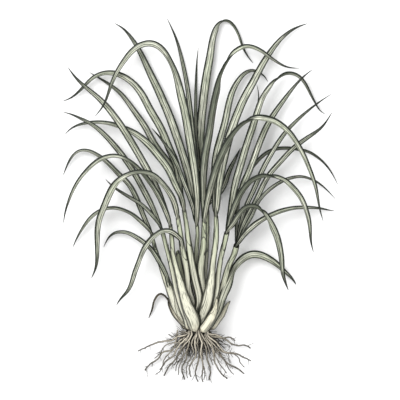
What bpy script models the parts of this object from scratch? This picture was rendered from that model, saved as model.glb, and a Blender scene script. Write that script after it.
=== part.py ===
"""A whole lemongrass clump, picked and laid on its side.

Metres, +Z up. The clump lies in the XY plane with its leaf tips towards +Y, its roots towards -Y
and its front facing +Z. The lowest leaves and the feet of the lowest stalks rest on z = 0.
Routes are listed in centimetres, from foot to tip, as they are laid out on the bench.
"""

import bmesh
import bpy
import numpy as np

CM = 0.01
MM = 0.001

CLUMP_SHIFT = (0.0, 0.0, -0.002)   # brings the middle of the clump over the origin

LEAF_THICKNESS = 1.3 * MM       # at the midrib of the widest leaf
LEAF_FOLD = 0.07                # how far the margins rise above the midrib, in leaf widths
WIDEST_LEAF = 18.0              # mm
LEAF_STEP = 1.9 * CM            # length of one segment along a leaf
LAYER_GAP = 0.9 * MM            # air between a leaf and the one that it lies over
DRAPE_RADIUS = 9.0 * CM         # tightest bend of a leaf as it rides over another
SMOOTHING = 0.9                 # cm over which the height of a leaf is evened out

STALK_ROUNDING = 3              # bevel resolution of a stalk, which gives 4 + 2 * 3 sides
STALK_STEP = 2.4 * CM
TOUCH_GAP = 0.35 * MM           # between pieces that press on each other

CROWN_CENTRE = (-0.4, -25.6, 2.9)
CROWN_SIZE = (2.7, 0.7, 2.2)   # half sizes: across, along, up
PAD_SIZE = (0.84, 0.4, 1.75)
PAD_Y = -26.8

LEAF_GREEN = (0.30, 0.37, 0.20, 1.0)
STALK_PALE = (0.62, 0.62, 0.42, 1.0)
CROWN_TAN = (0.42, 0.33, 0.20, 1.0)
ROOT_TAN = (0.50, 0.42, 0.29, 1.0)
DRY_TAN = (0.45, 0.38, 0.24, 1.0)

# Stalks, from mouth to foot: x, y, z in cm and radius in mm.
STALKS = {
    "stalk_back": [(1.4, -1.1, 0.8, 4), (1.3, -8, 0.8, 5), (0.9, -14, 0.85, 6), (0.4, -19, 0.9, 7),
                   (-0.4, -22.6, 1.0, 7), (-0.8, -25.3, 1.6, 4)],
    "stalk_middle_back": [(-0.7, -4.5, 2.9, 3.5), (-0.5, -7.1, 2.8, 4), (-0.7, -10.1, 2.6, 4.5),
                          (-0.9, -13.5, 2.3, 5), (-0.7, -18, 1.7, 5), (0.6, -22, 1.3, 5),
                          (0.4, -25.3, 1.7, 4)],
    "stalk_back_left": [(-4.6, -10.1, 2.0, 4), (-4.0, -13.1, 1.9, 5), (-3.5, -15.7, 1.8, 5.5),
                        (-3.0, -18.1, 1.7, 6), (-2.3, -21.5, 1.7, 6.5), (-1.7, -25.3, 2.5, 4)],
    "stalk_far_left": [(-9.7, -6.5, 2.4, 4), (-9.2, -8.7, 2.4, 4), (-8.5, -11.1, 2.3, 4.5),
                       (-7.8, -13.1, 2.2, 5), (-6.9, -15.5, 2.1, 6.5), (-5.8, -18.3, 2.1, 8),
                       (-4.6, -21.3, 2.4, 10), (-3.6, -23.5, 2.5, 8.5), (-2.6, -25.3, 2.7, 4)],
    "stalk_inner_left": [(-7.6, -5.7, 3.9, 4), (-6.4, -10.5, 3.9, 4.5), (-5.5, -14.1, 3.9, 4.5),
                         (-4.8, -17.7, 3.9, 4.5), (-4.2, -19.9, 3.9, 5), (-3.2, -22.8, 3.8, 5),
                         (-2.2, -25.3, 3.7, 3.5)],
    "stalk_far_right": [(7.3, -8.7, 3.0, 5.5), (6.6, -11.3, 2.9, 5.5), (6.1, -12.3, 2.9, 5.5),
                        (5.3, -14.5, 2.8, 6), (4.6, -17.1, 2.7, 6), (4.0, -18.9, 2.6, 6),
                        (2.8, -22.3, 2.4, 6), (1.6, -25.3, 2.6, 4)],
    "stalk_inner_right": [(5.4, -6.1, 4.2, 5), (4.8, -8.9, 4.1, 5), (4.2, -11.3, 4.0, 5),
                          (3.7, -14.1, 3.9, 5), (3.5, -16.1, 3.9, 5), (3.3, -18.3, 3.9, 5),
                          (2.9, -19.7, 3.8, 5), (2.2, -22.5, 3.6, 5), (1.3, -25.3, 3.5, 3.5)],
    "stalk_centre": [(0.9, -3.9, 4.4, 4.5), (0.8, -7.1, 4.2, 5.5), (0.6, -10.1, 4.0, 6.5),
                     (0.3, -12.5, 3.7, 7.5), (0.2, -14.1, 3.4, 8), (0.4, -16.7, 3.0, 8),
                     (0.7, -18.9, 2.8, 7.5), (1.0, -22, 2.5, 6.5), (0.5, -25.3, 2.6, 4)],
    "stalk_middle": [(-3.2, -1.7, 3.4, 4), (-2.8, -4.3, 3.5, 4.5), (-2.4, -7.3, 3.7, 5.5),
                     (-2.0, -10.3, 3.9, 6.5), (-1.2, -14.7, 4.0, 7), (-0.7, -16.9, 4.0, 7),
                     (-0.3, -18.5, 3.9, 7), (-0.1, -20.3, 3.6, 7), (-0.3, -21.9, 3.2, 7),
                     (-0.5, -25.3, 2.7, 4)],
    "stalk_middle_left": [(-4.5, -3.1, 4.8, 4.5), (-3.8, -7.3, 4.5, 5), (-3.4, -10.1, 4.2, 6),
                          (-2.6, -14.1, 3.7, 6.5), (-2.4, -16.3, 3.4, 6.5), (-2.0, -18.7, 3.1, 6.5),
                          (-1.3, -20.8, 2.7, 7), (-1.1, -22.5, 2.7, 6.5), (-1.2, -25.3, 3.5, 4)],
    "stalk_front_right": [(3.1, -2.7, 5.4, 4), (3.2, -6.1, 5.4, 5), (3.1, -8.5, 5.3, 5.5),
                          (2.6, -12.1, 5.2, 5.5), (2.4, -14.1, 5.1, 6), (2.2, -16.1, 5.0, 8),
                          (1.8, -18.3, 4.9, 10), (1.4, -20.3, 4.7, 11), (0.8, -22.3, 4.2, 11),
                          (0.3, -24.1, 3.7, 8), (0.1, -25.4, 3.6, 4.5)],
    "stalk_front_left": [(-5.9, -4.7, 4.6, 4), (-5.6, -7.3, 4.6, 4.2), (-5.3, -10.9, 4.7, 4.5),
                         (-4.4, -14.5, 4.9, 5.5), (-3.6, -17.5, 5.1, 8.5), (-2.8, -20.1, 5.2, 11),
                         (-1.9, -22.5, 5.1, 13.5), (-1.2, -24.3, 4.9, 12), (-0.9, -25.6, 4.5, 6)],
    "husk_right": [(6.1, -20.3, 0.5, 1.5), (5.4, -21.1, 0.55, 3), (4.9, -22.1, 0.6, 4),
                   (4.3, -23.3, 0.65, 4.5), (3.4, -24.5, 0.7, 4.2), (2.3, -25.4, 0.75, 2.5)],
    "husk_front": [(3.3, -18.9, 5.2, 1.5), (3.1, -21.1, 5.2, 5), (2.6, -22.7, 5.1, 8.5),
                   (1.8, -24.1, 4.9, 10.5), (0.9, -25.5, 4.4, 5.5)],
}
# A stalk is pressed in by the ones in front of it, so each is trimmed by those later in the dict.

# Leaves, from the lowest in the pile to the topmost. Each has the stalk mouth that it opens from,
# the height of its foot and tip in cm, the rise of its arch in cm, its full width in mm, and its
# roll at places along it: 0 shows the upper face, 180 the under face, +-90 an edge.
# Then its route in cm, from foot to tip.
LEAVES = [
    ("leaf_right_17", "stalk_back", 0.9, 0.4, 0, 11, [(0, 5), (1, -20)],
     [(1.5, -0.9), (3.0, 0.4), (4.8, 2.7), (5.7, 5.3), (6.9, 7.8), (8.2, 10.5)]),
    ("leaf_right_01", "stalk_back", 1.0, 0.5, 0, 19,
     [(0, 0), (.5, -20), (.72, -35), (.81, -120), (1, -140)],
     [(1.3, -0.9), (0.3, 4), (0, 10.9), (0.8, 19.9), (1.5, 25.1), (2.2, 29.0), (2.9, 32.8),
      (3.8, 34.8), (4.7, 35.6), (5.7, 35.4), (6.7, 34.4), (7.6, 32.7), (8.4, 30.5), (9.2, 29.0),
      (10.7, 27.1)]),
    ("leaf_left_04", "stalk_back", 1.1, 0.4, 0, 8, [(0, 0), (1, 25)],
     [(1.2, -0.8), (0.4, 3.5), (-0.5, 9.7), (-0.9, 16.1), (-0.9, 19.9), (-0.8, 25.1), (-0.6, 28.2),
      (-0.3, 30.8)]),
    ("leaf_left_03", "stalk_back", 1.4, 0.4, 0, 11, [(0, 0), (1, 20)],
     [(1.1, -0.8), (-0.1, 1.5), (-0.7, 4.7), (-1.0, 8.5), (-1.8, 16.1), (-2.6, 22.6), (-3.6, 27.7),
      (-4.8, 32.1), (-6.7, 36.4)]),
    ("leaf_left_01", "stalk_middle_back", 2.5, 0.5, 0, 18, [(0, 0), (.3, 15), (1, 25)],
     [(-0.8, -4.3), (-1.2, -1.2), (-1.8, 2.7), (-3.4, 8.5), (-6.0, 16.1), (-8.6, 22.1),
      (-10.6, 26.3), (-12.2, 29.7), (-13.8, 32.3), (-15.6, 34.3), (-17.3, 35.3)]),
    ("leaf_left_06", "stalk_middle", 2.9, 0.6, 0, 13.5, [(0, 0), (.4, 15), (1, 25)],
     [(-3.4, -1.5), (-4.4, 2.7), (-5.8, 6.5), (-8.9, 10.7), (-10.9, 14.3), (-13.4, 17.9),
      (-15.9, 21.1), (-18.1, 22.9), (-20.6, 24.5), (-22.3, 25.5)]),
    ("leaf_left_07", "stalk_middle", 3.2, 0.6, 1, 16.5, [(0, 0), (.4, 20), (.8, 35), (1, 20)],
     [(-3.3, -1.5), (-4.0, 2.2), (-5.0, 7.5), (-6.0, 9.7), (-7.6, 13.5), (-10.1, 17.9),
      (-12.4, 21.9), (-13.8, 23.3), (-15.9, 24.6), (-18.0, 25.1), (-20.1, 24.8), (-21.4, 24.1),
      (-22.9, 22.7), (-24.6, 21.1), (-25.9, 20.2), (-27.6, 19.6)]),
    ("leaf_right_03", "stalk_front_right", 4.9, 0.6, 0, 15.5, [(0, 0), (.5, -15), (1, -25)],
     [(2.9, -2.4), (2.9, 2.9), (3.3, 8.9), (4.2, 12.3), (5.2, 16.1), (6, 19.9), (6.7, 21.9),
      (7.7, 23.7), (8.7, 24.9), (9.6, 25.5), (10.6, 25.7), (12.0, 25.2), (13.0, 24.4),
      (13.6, 23.4)]),
    ("leaf_right_18", "stalk_inner_right", 3.0, 0.5, 0, 7, [(0, 0), (1, 15)],
     [(5.6, -5.8), (6.2, -1.1), (7.2, 2.9), (8.6, 7.9), (10, 12.9), (11.1, 17.5), (11.7, 20.4),
      (11.3, 23.2)]),
    ("leaf_right_05", "stalk_inner_right", 3.4, 0.6, 1, 16,
     [(0, 0), (.4, -20), (.64, -40), (.75, -125), (1, -145)],
     [(5.5, -5.8), (6.4, -0.1), (7.1, 3.3), (8.2, 7.1), (9.4, 11.0), (11.2, 16.3), (12.9, 20.7),
      (14, 22.3), (15, 23.5), (16.2, 24.4), (17.3, 24.9), (18.4, 24.9), (19.4, 24.5),
      (20.4, 23.6), (21.9, 21.1), (23.2, 18.8), (24, 17.7), (25.1, 17.0)]),
    ("leaf_left_08", "stalk_middle_back", 3.1, 2.0, 0, 10, [(0, 0), (1, 20)],
     [(-0.9, -4.2), (-1.2, -2.5), (-2.4, 1.3), (-3.2, 3.3), (-4.8, 7.4), (-6.8, 10.7),
      (-8.0, 12.3), (-9.7, 14.3)]),
    ("leaf_left_12", "stalk_middle", 3.6, 0.6, 1, 16, [(0, 0), (.4, 20), (.7, 45), (1, 40)],
     [(-3.2, -1.4), (-3.8, 0.7), (-4.6, 2.3), (-6.2, 5.7), (-8.2, 8.5), (-10.6, 11.2),
      (-13.2, 13.1), (-15.2, 14.0), (-17.6, 14.8), (-20.1, 15.2), (-22.6, 15.1), (-24.4, 14.7),
      (-26.0, 13.9), (-27.1, 12.8)]),
    ("leaf_left_13", "stalk_far_left", 2.3, 0.5, 0.5, 12.5, [(0, 0), (.35, 30), (.75, 45), (1, 20)],
     [(-9.8, -6.3), (-10.8, -4.3), (-12.6, -0.1), (-14.4, 3.1), (-16.6, 5.3), (-18.6, 7.3),
      (-20.8, 8.9), (-22.4, 9.6), (-24, 9.6), (-25.2, 8.8), (-26.2, 7.4), (-26.9, 5.9),
      (-27.4, 4.7)]),
    ("leaf_left_11", "stalk_inner_left", 3.7, 0.6, 0, 13, [(0, 0), (.4, 20), (1, 25)],
     [(-7.8, -5.4), (-9.2, -2.1), (-11.4, 2.1), (-13.7, 6.1), (-16.6, 10.1), (-18.8, 12.6),
      (-21.4, 14.8), (-24, 16.2), (-25.8, 17.0), (-27.6, 17.5)]),
    ("leaf_left_14", "stalk_inner_left", 4.0, 0.8, 0, 8, [(0, 0), (1, 25)],
     [(-7.7, -5.4), (-8.6, -4.2), (-10, -2.5), (-11.8, -0.9), (-13.8, 0.3), (-15.8, 1.5),
      (-17.6, 2.8), (-19, 4.2)]),
    ("leaf_left_15", "stalk_far_left", 2.7, 0.3, 0.8, 11.5,
     [(0, 20), (.3, 55), (.5, 50), (.65, 40), (1, 30)],
     [(-9.9, -6.3), (-11.2, -5.0), (-12.2, -4.2), (-13.2, -3.4), (-14.6, -2.6), (-16.4, -2.0),
      (-18.2, -1.9), (-20.1, -2.5), (-21.9, -3.9), (-23.2, -5.6), (-24.4, -7.5), (-25.5, -9.7)]),
    ("leaf_left_05", "stalk_front_left", 4.5, 0.6, 0, 15.5, [(0, 0), (.4, 15), (1, 20)],
     [(-6, -4.4), (-7.6, -0.2), (-10.4, 5.6), (-12.7, 9.7), (-14.8, 13.2), (-16.6, 15.9),
      (-18.8, 18.7), (-20.4, 20.3), (-22.9, 22.4), (-25, 24.5), (-26.5, 26.6)]),
    ("leaf_right_14", "stalk_far_right", 2.5, 0.5, 1, 11, [(0, -150), (1, -135)],
     [(7.3, -8.4), (7.4, -4.1), (7.8, -0.1), (8.4, 2.7), (9.4, 4.9), (10.8, 6.7), (12.6, 8.6),
      (13.8, 9.4), (15.1, 9.9), (17, 10.1), (18.8, 10.0), (20.4, 9.7), (21.8, 9.3), (23, 8.6),
      (24.3, 7.6), (25.6, 6.2), (26.6, 4.7), (27.6, 2.8)]),
    ("leaf_right_04", "stalk_front_right", 5.2, 0.6, 0, 17.5, [(0, 0), (.5, -10), (1, -25)],
     [(3.3, -2.4), (3.8, 2.9), (4.8, 8.3), (6, 12.9), (7.6, 17.3), (8.8, 20), (10.6, 23.3),
      (12.6, 27.0), (14.7, 30.2), (16, 31.8), (17.3, 33.0), (18.7, 34.0), (20.2, 34.7),
      (21.6, 35.2)]),
    ("leaf_right_06", "stalk_inner_right", 4.2, 0.7, 0, 13.5, [(0, 0), (.5, -15), (1, -20)],
     [(5.5, -5.8), (6.6, -2.3), (7.7, 0.7), (8.8, 3.3), (9.9, 5.9), (11.8, 11.0), (14.2, 16.1),
      (16.2, 19.0), (18.7, 22.3), (20.6, 24.4), (22.6, 26.0)]),
    ("leaf_right_07", "stalk_far_right", 2.9, 0.8, 0.5, 10.5, [(0, 0), (.5, -20), (1, -25)],
     [(7.4, -8.4), (8, -5.1), (9.4, -0.9), (10.7, 1.9), (12.6, 6.1), (14.6, 9.7), (16.4, 12.5),
      (18.7, 15.1), (21.6, 17.7), (25.1, 20.3), (26.5, 21.2)]),
    ("leaf_right_15", "stalk_far_right", 3.2, 0.8, 0.5, 12, [(0, 0), (.5, -25), (1, 20)],
     [(7.5, -8.4), (8.2, -6.1), (8.9, -4.3), (10.9, -0.7), (12.3, 2.2), (13.8, 4.8), (16.1, 7.5),
      (18.3, 9.9), (20.8, 11.9), (22.1, 12.8), (23.4, 13.7), (24.6, 14.8), (25.6, 16.2),
      (26.5, 17.6)]),
    ("leaf_right_16", "stalk_far_right", 3.5, 0.6, 0.5, 8, [(0, 0), (1, -30)],
     [(7.6, -8.4), (8.6, -6.1), (10, -3.7), (11.8, -0.1), (13.6, 1.8), (15.1, 2.9), (17.6, 4.1),
      (18.9, 4.4), (20.2, 4.5), (21.6, 4.2), (23.2, 3.5), (24.6, 2.5), (26, 1.2), (27.2, -0.1)]),
    ("leaf_right_11", "stalk_far_right", 3.8, 0.5, 0.8, 12, [(0, 0), (.4, -35), (1, -40)],
     [(7.7, -8.5), (8.6, -7.2), (10.1, -5.7), (12.2, -4.2), (14.2, -3.2), (16.2, -2.4),
      (18.2, -1.9), (20, -1.7), (22, -1.7), (24.4, -1.9), (26, -2.2), (27.1, -2.3)]),
    ("leaf_right_02", "stalk_centre", 4.1, 1.0, 1.5, 18,
     [(0, -165), (.52, -145), (.63, -100), (.72, -45), (1, -40)],
     [(0.9, -3.6), (0.7, 1.9), (1.2, 8.9), (2, 12.9), (2.8, 17.9), (3.8, 22.6), (4.5, 25.1),
      (5.4, 27.0), (6.4, 28.5), (7.6, 29.6), (8.9, 30.2), (10.1, 30.2), (11.5, 29.7),
      (12.8, 28.9), (13.9, 28.1), (15.3, 27.2), (16.7, 26.5), (18, 26.2), (20, 26.2)]),
    ("leaf_left_02", "stalk_middle_back", 3.6, 0.8, 2.5, 18,
     [(0, 0), (.35, 25), (.58, 55), (.72, 42), (1, 20)],
     [(-0.7, -4.2), (-0.6, 0.7), (-1.0, 4.7), (-2.2, 12.3), (-3.0, 16.9), (-4.0, 21.1),
      (-5.0, 24.6), (-6.4, 27.7), (-7.8, 29.7), (-9.4, 30.7), (-11.0, 30.7), (-13, 29.7),
      (-14.8, 27.7), (-16.6, 24.9), (-17.8, 22.1), (-19.1, 18.7), (-20.9, 16.4)]),
    ("leaf_left_16", "side of stalk_far_left", 3.0, 0.3, 0.5, 10.5, [(0, 0), (.4, 25), (1, 30)],
     [(-6.2, -16.0), (-6.8, -14.8), (-7.6, -13.2), (-8.6, -11.6), (-9.6, -10.1),
      (-10.8, -8.9), (-12.8, -7.5), (-14.4, -6.7), (-15.9, -6.5), (-17.2, -6.8), (-18.4, -7.9),
      (-19.3, -9.7)]),
    ("leaf_right_12", "", 1.3, 0.3, 1.2, 20, [(0, 0), (.25, -10), (.42, -50), (.6, -35), (1, -30)],
     [(2.0, -25.3), (2.9, -23.7), (3.8, -21.7), (4.5, -19.3), (5.6, -16.8), (6.4, -15.1),
      (7.6, -13.1), (8.9, -11.8), (10.2, -11.2), (11.7, -11.2), (13.3, -11.8), (15.3, -13.1),
      (16.9, -14.5), (18.4, -15.9), (19.3, -17.2)]),
    ("leaf_left_18", "", 0.8, 0.3, 0, 15, [(0, 0), (.35, 20), (.5, 80), (.7, 50), (1, 20)],
     [(-2.4, -25.3), (-3.4, -24.6), (-4.2, -23.7), (-4.9, -22.7), (-5.8, -21.1), (-6.4, -20.2),
      (-7.1, -19.3), (-7.9, -18.9), (-8.6, -19.5), (-9.1, -20.4), (-9.4, -21.7), (-9.8, -22.7),
      (-10.4, -24.0)]),
    ("leaf_left_10", "stalk_front_left", 4.8, 0.4, 2.0, 14,
     [(0, 0), (.2, 40), (.42, 58), (.6, 40), (1, 30)],
     [(-6, -4.3), (-7.9, -0.1), (-10.2, 3.5), (-11.8, 5.4), (-13.8, 7.2), (-15.4, 8.1),
      (-17.2, 8.4), (-18.8, 8.1), (-20.1, 7.5), (-21.4, 6.5), (-22.6, 5.3), (-23.8, 3.9),
      (-24.9, 2.2), (-26, -0.1), (-26.9, -2.7), (-27.3, -4.9)]),
    ("leaf_right_08", "stalk_centre", 4.7, 1.0, 3.5, 19,
     [(0, -165), (.28, -145), (.4, -110), (.48, -50), (1, -35)],
     [(1, -3.5), (1.4, -1.1), (2.1, 1.7), (2.8, 4.3), (4.4, 8.5), (5.4, 10.5), (6.4, 12.1),
      (7.6, 13.7), (8.9, 14.9), (10.7, 15.7), (12.6, 15.7), (14.4, 15.2), (16.1, 14.2),
      (17.6, 12.8), (18.9, 11.0), (20, 9.2), (21.1, 6.9), (22, 4.8), (22.7, 2.9), (23.4, -0.1),
      (23.9, -2.4), (24.6, -4.5)]),
    ("leaf_right_09", "stalk_inner_right", 4.7, 0.5, 2.5, 17,
     [(0, -160), (.36, -130), (.48, -55), (.58, -40), (1, -35)],
     [(5.6, -5.8), (6.4, -2.9), (7.1, -1.1), (8.0, 0.7), (9.0, 2.2), (10.2, 3.4), (11.8, 4.2),
      (13.8, 4.4), (15.4, 4.1), (16.8, 3.4), (18.5, 1.9), (19.9, 0.1), (20.8, -1.9),
      (21.4, -3.7), (21.8, -6.1), (22.1, -8.6), (22.7, -10.7)]),
    ("leaf_right_10", "stalk_inner_right", 5.0, 0.3, 1.8, 17,
     [(0, -160), (.26, -130), (.38, -55), (.5, -30), (1, -20)],
     [(5.7, -5.9), (6.8, -4.6), (7.6, -3.4), (8.4, -2.4), (9.3, -1.7), (10.2, -1.5),
      (11.1, -1.7), (12.2, -2.5), (13.2, -3.7), (14.2, -5.5), (15, -7.3), (15.7, -9.7),
      (16.1, -12), (16.4, -14.6), (17.0, -16.6), (17.7, -18.3)]),
    ("leaf_left_17", "side of stalk_middle_left", 4.9, 0.3, 1.0, 13,
     [(0, 0), (.15, 40), (.4, 30), (.7, 20), (1, 20)],
     [(-4.3, -7.3), (-5, -6.8), (-5.8, -6.4), (-6.6, -6.3), (-7.4, -6.4), (-8.3, -6.9),
      (-9.2, -7.6), (-10, -8.5), (-10.8, -9.6), (-11.4, -10.8), (-12.1, -12.6), (-12.9, -14.6),
      (-13.6, -16.7), (-14.5, -18.4), (-15.8, -19.8), (-16.8, -21.3)]),
    ("leaf_left_09", "stalk_middle_left", 4.9, 0.3, 2.5, 18,
     [(0, 0), (.18, 40), (.33, 58), (.5, 35), (1, 20)],
     [(-4.5, -2.8), (-5.3, -0.2), (-6.8, 2.1), (-8.3, 3.7), (-9.7, 4.7), (-11.3, 5.1),
      (-13.2, 4.9), (-14.7, 4.3), (-15.9, 3.5), (-17.2, 2.0), (-18.2, -0.1), (-19, -1.9),
      (-19.6, -3.4), (-20.1, -5.5), (-20.3, -8), (-20.4, -10.9), (-20.8, -13.7),
      (-21.8, -15.9)]),
]
WITHERED = {"leaf_left_18"}
SHEATHED = {"leaf_right_12": 0.55, "leaf_left_18": 0.6}   # these keep their width down to the foot

# Roots of each tuft, from its pad to the tip: x, y in cm and the height of the tip in cm.
ROOTS = {
    "roots_left": [
        (1.4, [(-2.4, -26.6), (-4.2, -27.1), (-5.4, -27.9), (-7.8, -28.3), (-9.2, -28.8),
               (-10.6, -29.4), (-12.3, -30.3)]),
        (0.5, [(-2.3, -26.8), (-3.8, -27.8), (-4.9, -29.2), (-6.1, -30.1), (-7.2, -30.5),
               (-8.4, -31.9), (-9.8, -32.8), (-11, -34.2)]),
        (2.6, [(-2.2, -26.8), (-4.0, -28.9), (-5.5, -31.2), (-6.8, -32), (-7.4, -33),
               (-8.1, -33.8)]),
        (0.6, [(-2.0, -26.9), (-3.2, -28.6), (-4.0, -30.5), (-5.2, -32.2), (-6.6, -34),
               (-7.1, -35.2)]),
        (2.0, [(-1.7, -26.9), (-2.6, -28.2), (-3.6, -29.5), (-4.3, -30.9), (-4.9, -32.6),
               (-5.3, -33.1)]),
    ],
    "roots_middle": [
        (0.4, [(-0.9, -26.9), (-1.5, -28.2), (-2.3, -29.5), (-2.8, -31.9), (-3.5, -33.3),
               (-3.2, -36.1)]),
        (2.3, [(-0.7, -26.9), (-1.1, -28.8), (-0.8, -30.2), (-1.4, -32), (-2.0, -33.6),
               (-1.7, -35.2)]),
        (1.2, [(-0.4, -26.9), (-0.5, -29), (-0.1, -31), (-0.5, -33.2), (-0.9, -34.8),
               (-0.5, -36.3)]),
        (3.0, [(-0.2, -26.9), (0.3, -28.6), (0.1, -30.4), (0.6, -32.7), (0.5, -34.6),
               (0.7, -36.4)]),
        (0.5, [(0.1, -26.9), (0.8, -28.4), (1.2, -29.9), (1.3, -31.8), (2.0, -33.6),
               (1.9, -36.1)]),
    ],
    "roots_right": [
        (1.8, [(1.1, -26.9), (1.8, -28.6), (2.5, -30), (2.9, -32.4), (3.7, -34), (4.6, -35),
               (5.5, -35.6)]),
        (0.5, [(1.3, -26.9), (2.2, -28.3), (3.5, -29.8), (4.3, -31.3), (5.8, -32.9),
               (7.4, -33.7), (8.8, -34.8)]),
        (2.7, [(1.5, -26.8), (2.9, -28.2), (4.2, -29.6), (5.2, -30.4), (7.1, -30.6),
               (8.7, -31.3), (10.1, -32)]),
        (1.0, [(1.7, -26.7), (3.6, -27.4), (5.3, -28.0), (7.0, -29.0), (8.7, -29.1),
               (10.1, -29.8)]),
        (3.2, [(1.6, -26.6), (3.2, -26.9), (4.6, -27.4), (5.8, -27.3), (6.9, -27.9)]),
    ],
}
ROOT_RADIUS = 1.7               # mm at the pad
PAD_X = {"roots_left": -2.1, "roots_middle": -0.35, "roots_right": 1.4}


# --- lines -------------------------------------------------------------------------------------

def spline_through(points, count):
    """A smooth natural spline through the points, read at evenly spaced places along it."""
    pts = np.array(points, float)
    t = np.concatenate([[0], np.cumsum(np.linalg.norm(np.diff(pts[:, :2], axis=0), axis=1))])
    n = len(t)
    h = np.diff(t)
    system, right = np.eye(n), np.zeros_like(pts)
    for i in range(1, n - 1):
        system[i, i - 1:i + 2] = h[i - 1], 2 * (h[i - 1] + h[i]), h[i]
        right[i] = 6 * ((pts[i + 1] - pts[i]) / h[i] - (pts[i] - pts[i - 1]) / h[i - 1])
    bend = np.linalg.solve(system, right)

    def at(u):
        k = np.clip(np.searchsorted(t, u) - 1, 0, n - 2)
        a, b, w = (t[k + 1] - u)[:, None], (u - t[k])[:, None], h[k][:, None]
        return ((bend[k] * a ** 3 + bend[k + 1] * b ** 3) / (6 * w)
                + (pts[k] / w - bend[k] * w / 6) * a + (pts[k + 1] / w - bend[k + 1] * w / 6) * b)

    fine = at(np.linspace(0, t[-1], 400))
    run = np.concatenate([[0], np.cumsum(np.linalg.norm(np.diff(fine[:, :2], axis=0), axis=1))])
    want = np.linspace(0, run[-1], count)
    return np.stack([np.interp(want, run, fine[:, k]) for k in range(fine.shape[1])], axis=1), run[-1]


def smooth_step(t):
    t = np.clip(t, 0, 1)
    return t * t * (3 - 2 * t)


def blade_width(t, width, foot):
    """Narrow at the foot, full from a third of the way, then a long taper to a point."""
    grow = foot + (1 - foot) * smooth_step(t / 0.3)
    taper = 1 - 0.93 * np.clip((t - 0.5) / 0.5, 0, 1) ** 1.8
    return width * grow * taper


def eased(knots, t):
    """Values at places along a leaf, eased from one to the next."""
    places, values = np.array(knots, float).T
    k = np.clip(np.searchsorted(places, t) - 1, 0, len(places) - 2)
    return values[k] + (values[k + 1] - values[k]) * smooth_step((t - places[k])
                                                                / (places[k + 1] - places[k]))


# --- laying the leaves over each other -----------------------------------------------------------

class Laid:
    """What lies on the bench so far: spots with a half width and the height of their top, in cm."""

    def __init__(self):
        self.spots = []

    def owners(self):
        return {spot[0] for spot in self.spots}

    def add(self, owner, xy, half, top):
        self.spots.append((owner, xy, half, top))

    def clearance(self, xy, half, skip):
        """Lowest height that clears everything under each place of a new piece."""
        need = np.zeros(len(xy))
        for owner, other, wide, top in self.spots:
            if owner == skip:
                continue
            near = np.hypot(*(xy[:, None, :] - other[None, :, :]).transpose(2, 0, 1))
            hit = near < half[:, None] + wide[None, :] + 0.12
            need = np.maximum(need, np.where(hit, top[None, :], 0).max(axis=1))
        return need


def lay_leaf(leaf, laid):
    """A leaf's line, width and roll, lifted clear of what it lies over with a springy bend."""
    name, stalk, foot_z, tip_z, arch, width, roll, route = leaf
    xy, length = spline_through(route, 121)
    t = np.linspace(0, 1, len(xy))
    wide = blade_width(t, width, SHEATHED.get(name, 0.3))
    angle = np.radians(eased(roll, t))
    fold = LEAF_FOLD * wide / 10
    half = np.abs(np.cos(angle)) * wide / 20 + 0.05
    up = np.abs(np.sin(angle)) * wide / 20 + fold + 0.5 * LEAF_THICKNESS / CM
    wish = foot_z + (tip_z - foot_z) * t ** 0.8 + arch * np.sin(np.pi * t ** 0.9)
    need = laid.clearance(xy, half, stalk) + up + LAYER_GAP / CM
    need = np.maximum(need, up)
    s = t * length
    drop = (s[:, None] - s[None, :]) ** 2 / (2 * DRAPE_RADIUS / CM)
    over = (need[None, :] - drop).max(axis=1)
    z = np.maximum(wish, over)
    blur = np.exp(-0.5 * ((s[:, None] - s[None, :]) / SMOOTHING) ** 2)
    blur /= blur.sum(axis=1, keepdims=True)
    z = np.maximum(blur @ z + 0.03, need)
    laid.add(name, xy, half, z + up)
    return np.column_stack([xy, z]), wide, angle, length


# --- solids --------------------------------------------------------------------------------------

def material(name, colour):
    mat = bpy.data.materials.new(name)
    mat.use_nodes = True
    shader = mat.node_tree.nodes["Principled BSDF"]
    shader.inputs["Base Color"].default_value = colour
    shader.inputs["Roughness"].default_value = 0.6
    shader.inputs["Metallic"].default_value = 0.0
    return mat


def solid_from_curve(name, curve_obj, collection, colour):
    """The curve as a closed mesh, with its caps welded on."""
    bpy.context.view_layer.update()
    mesh = bpy.data.meshes.new_from_object(
        curve_obj.evaluated_get(bpy.context.evaluated_depsgraph_get()))
    bpy.data.objects.remove(curve_obj)
    bm = bmesh.new()
    bm.from_mesh(mesh)
    bmesh.ops.remove_doubles(bm, verts=bm.verts, dist=0.00002)
    bmesh.ops.recalc_face_normals(bm, faces=bm.faces)
    bm.to_mesh(mesh)
    bm.free()
    mesh.name = name
    mesh.shade_smooth()
    obj = bpy.data.objects.new(name, mesh)
    mesh.materials.clear()
    mesh.materials.append(material(name, colour))
    collection.objects.link(obj)
    return obj


def poly_curve(name, points, radii, tilts, collection):
    curve = bpy.data.curves.new(name + "_line", "CURVE")
    curve.dimensions = "3D"
    curve.twist_mode = "Z_UP"
    curve.use_fill_caps = True
    spline = curve.splines.new("POLY")
    spline.points.add(len(points) - 1)
    for point, co, radius, tilt in zip(spline.points, points, radii, tilts):
        point.co = (*co, 1.0)
        point.radius = radius
        point.tilt = tilt
    obj = bpy.data.objects.new(name + "_line", curve)
    collection.objects.link(obj)
    return obj


def build_tube(name, points, radii, resolution, collection, colour):
    obj = poly_curve(name, points, radii, [0.0] * len(points), collection)
    obj.data.bevel_depth = 1.0
    obj.data.bevel_resolution = resolution
    return solid_from_curve(name, obj, collection, colour)


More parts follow.
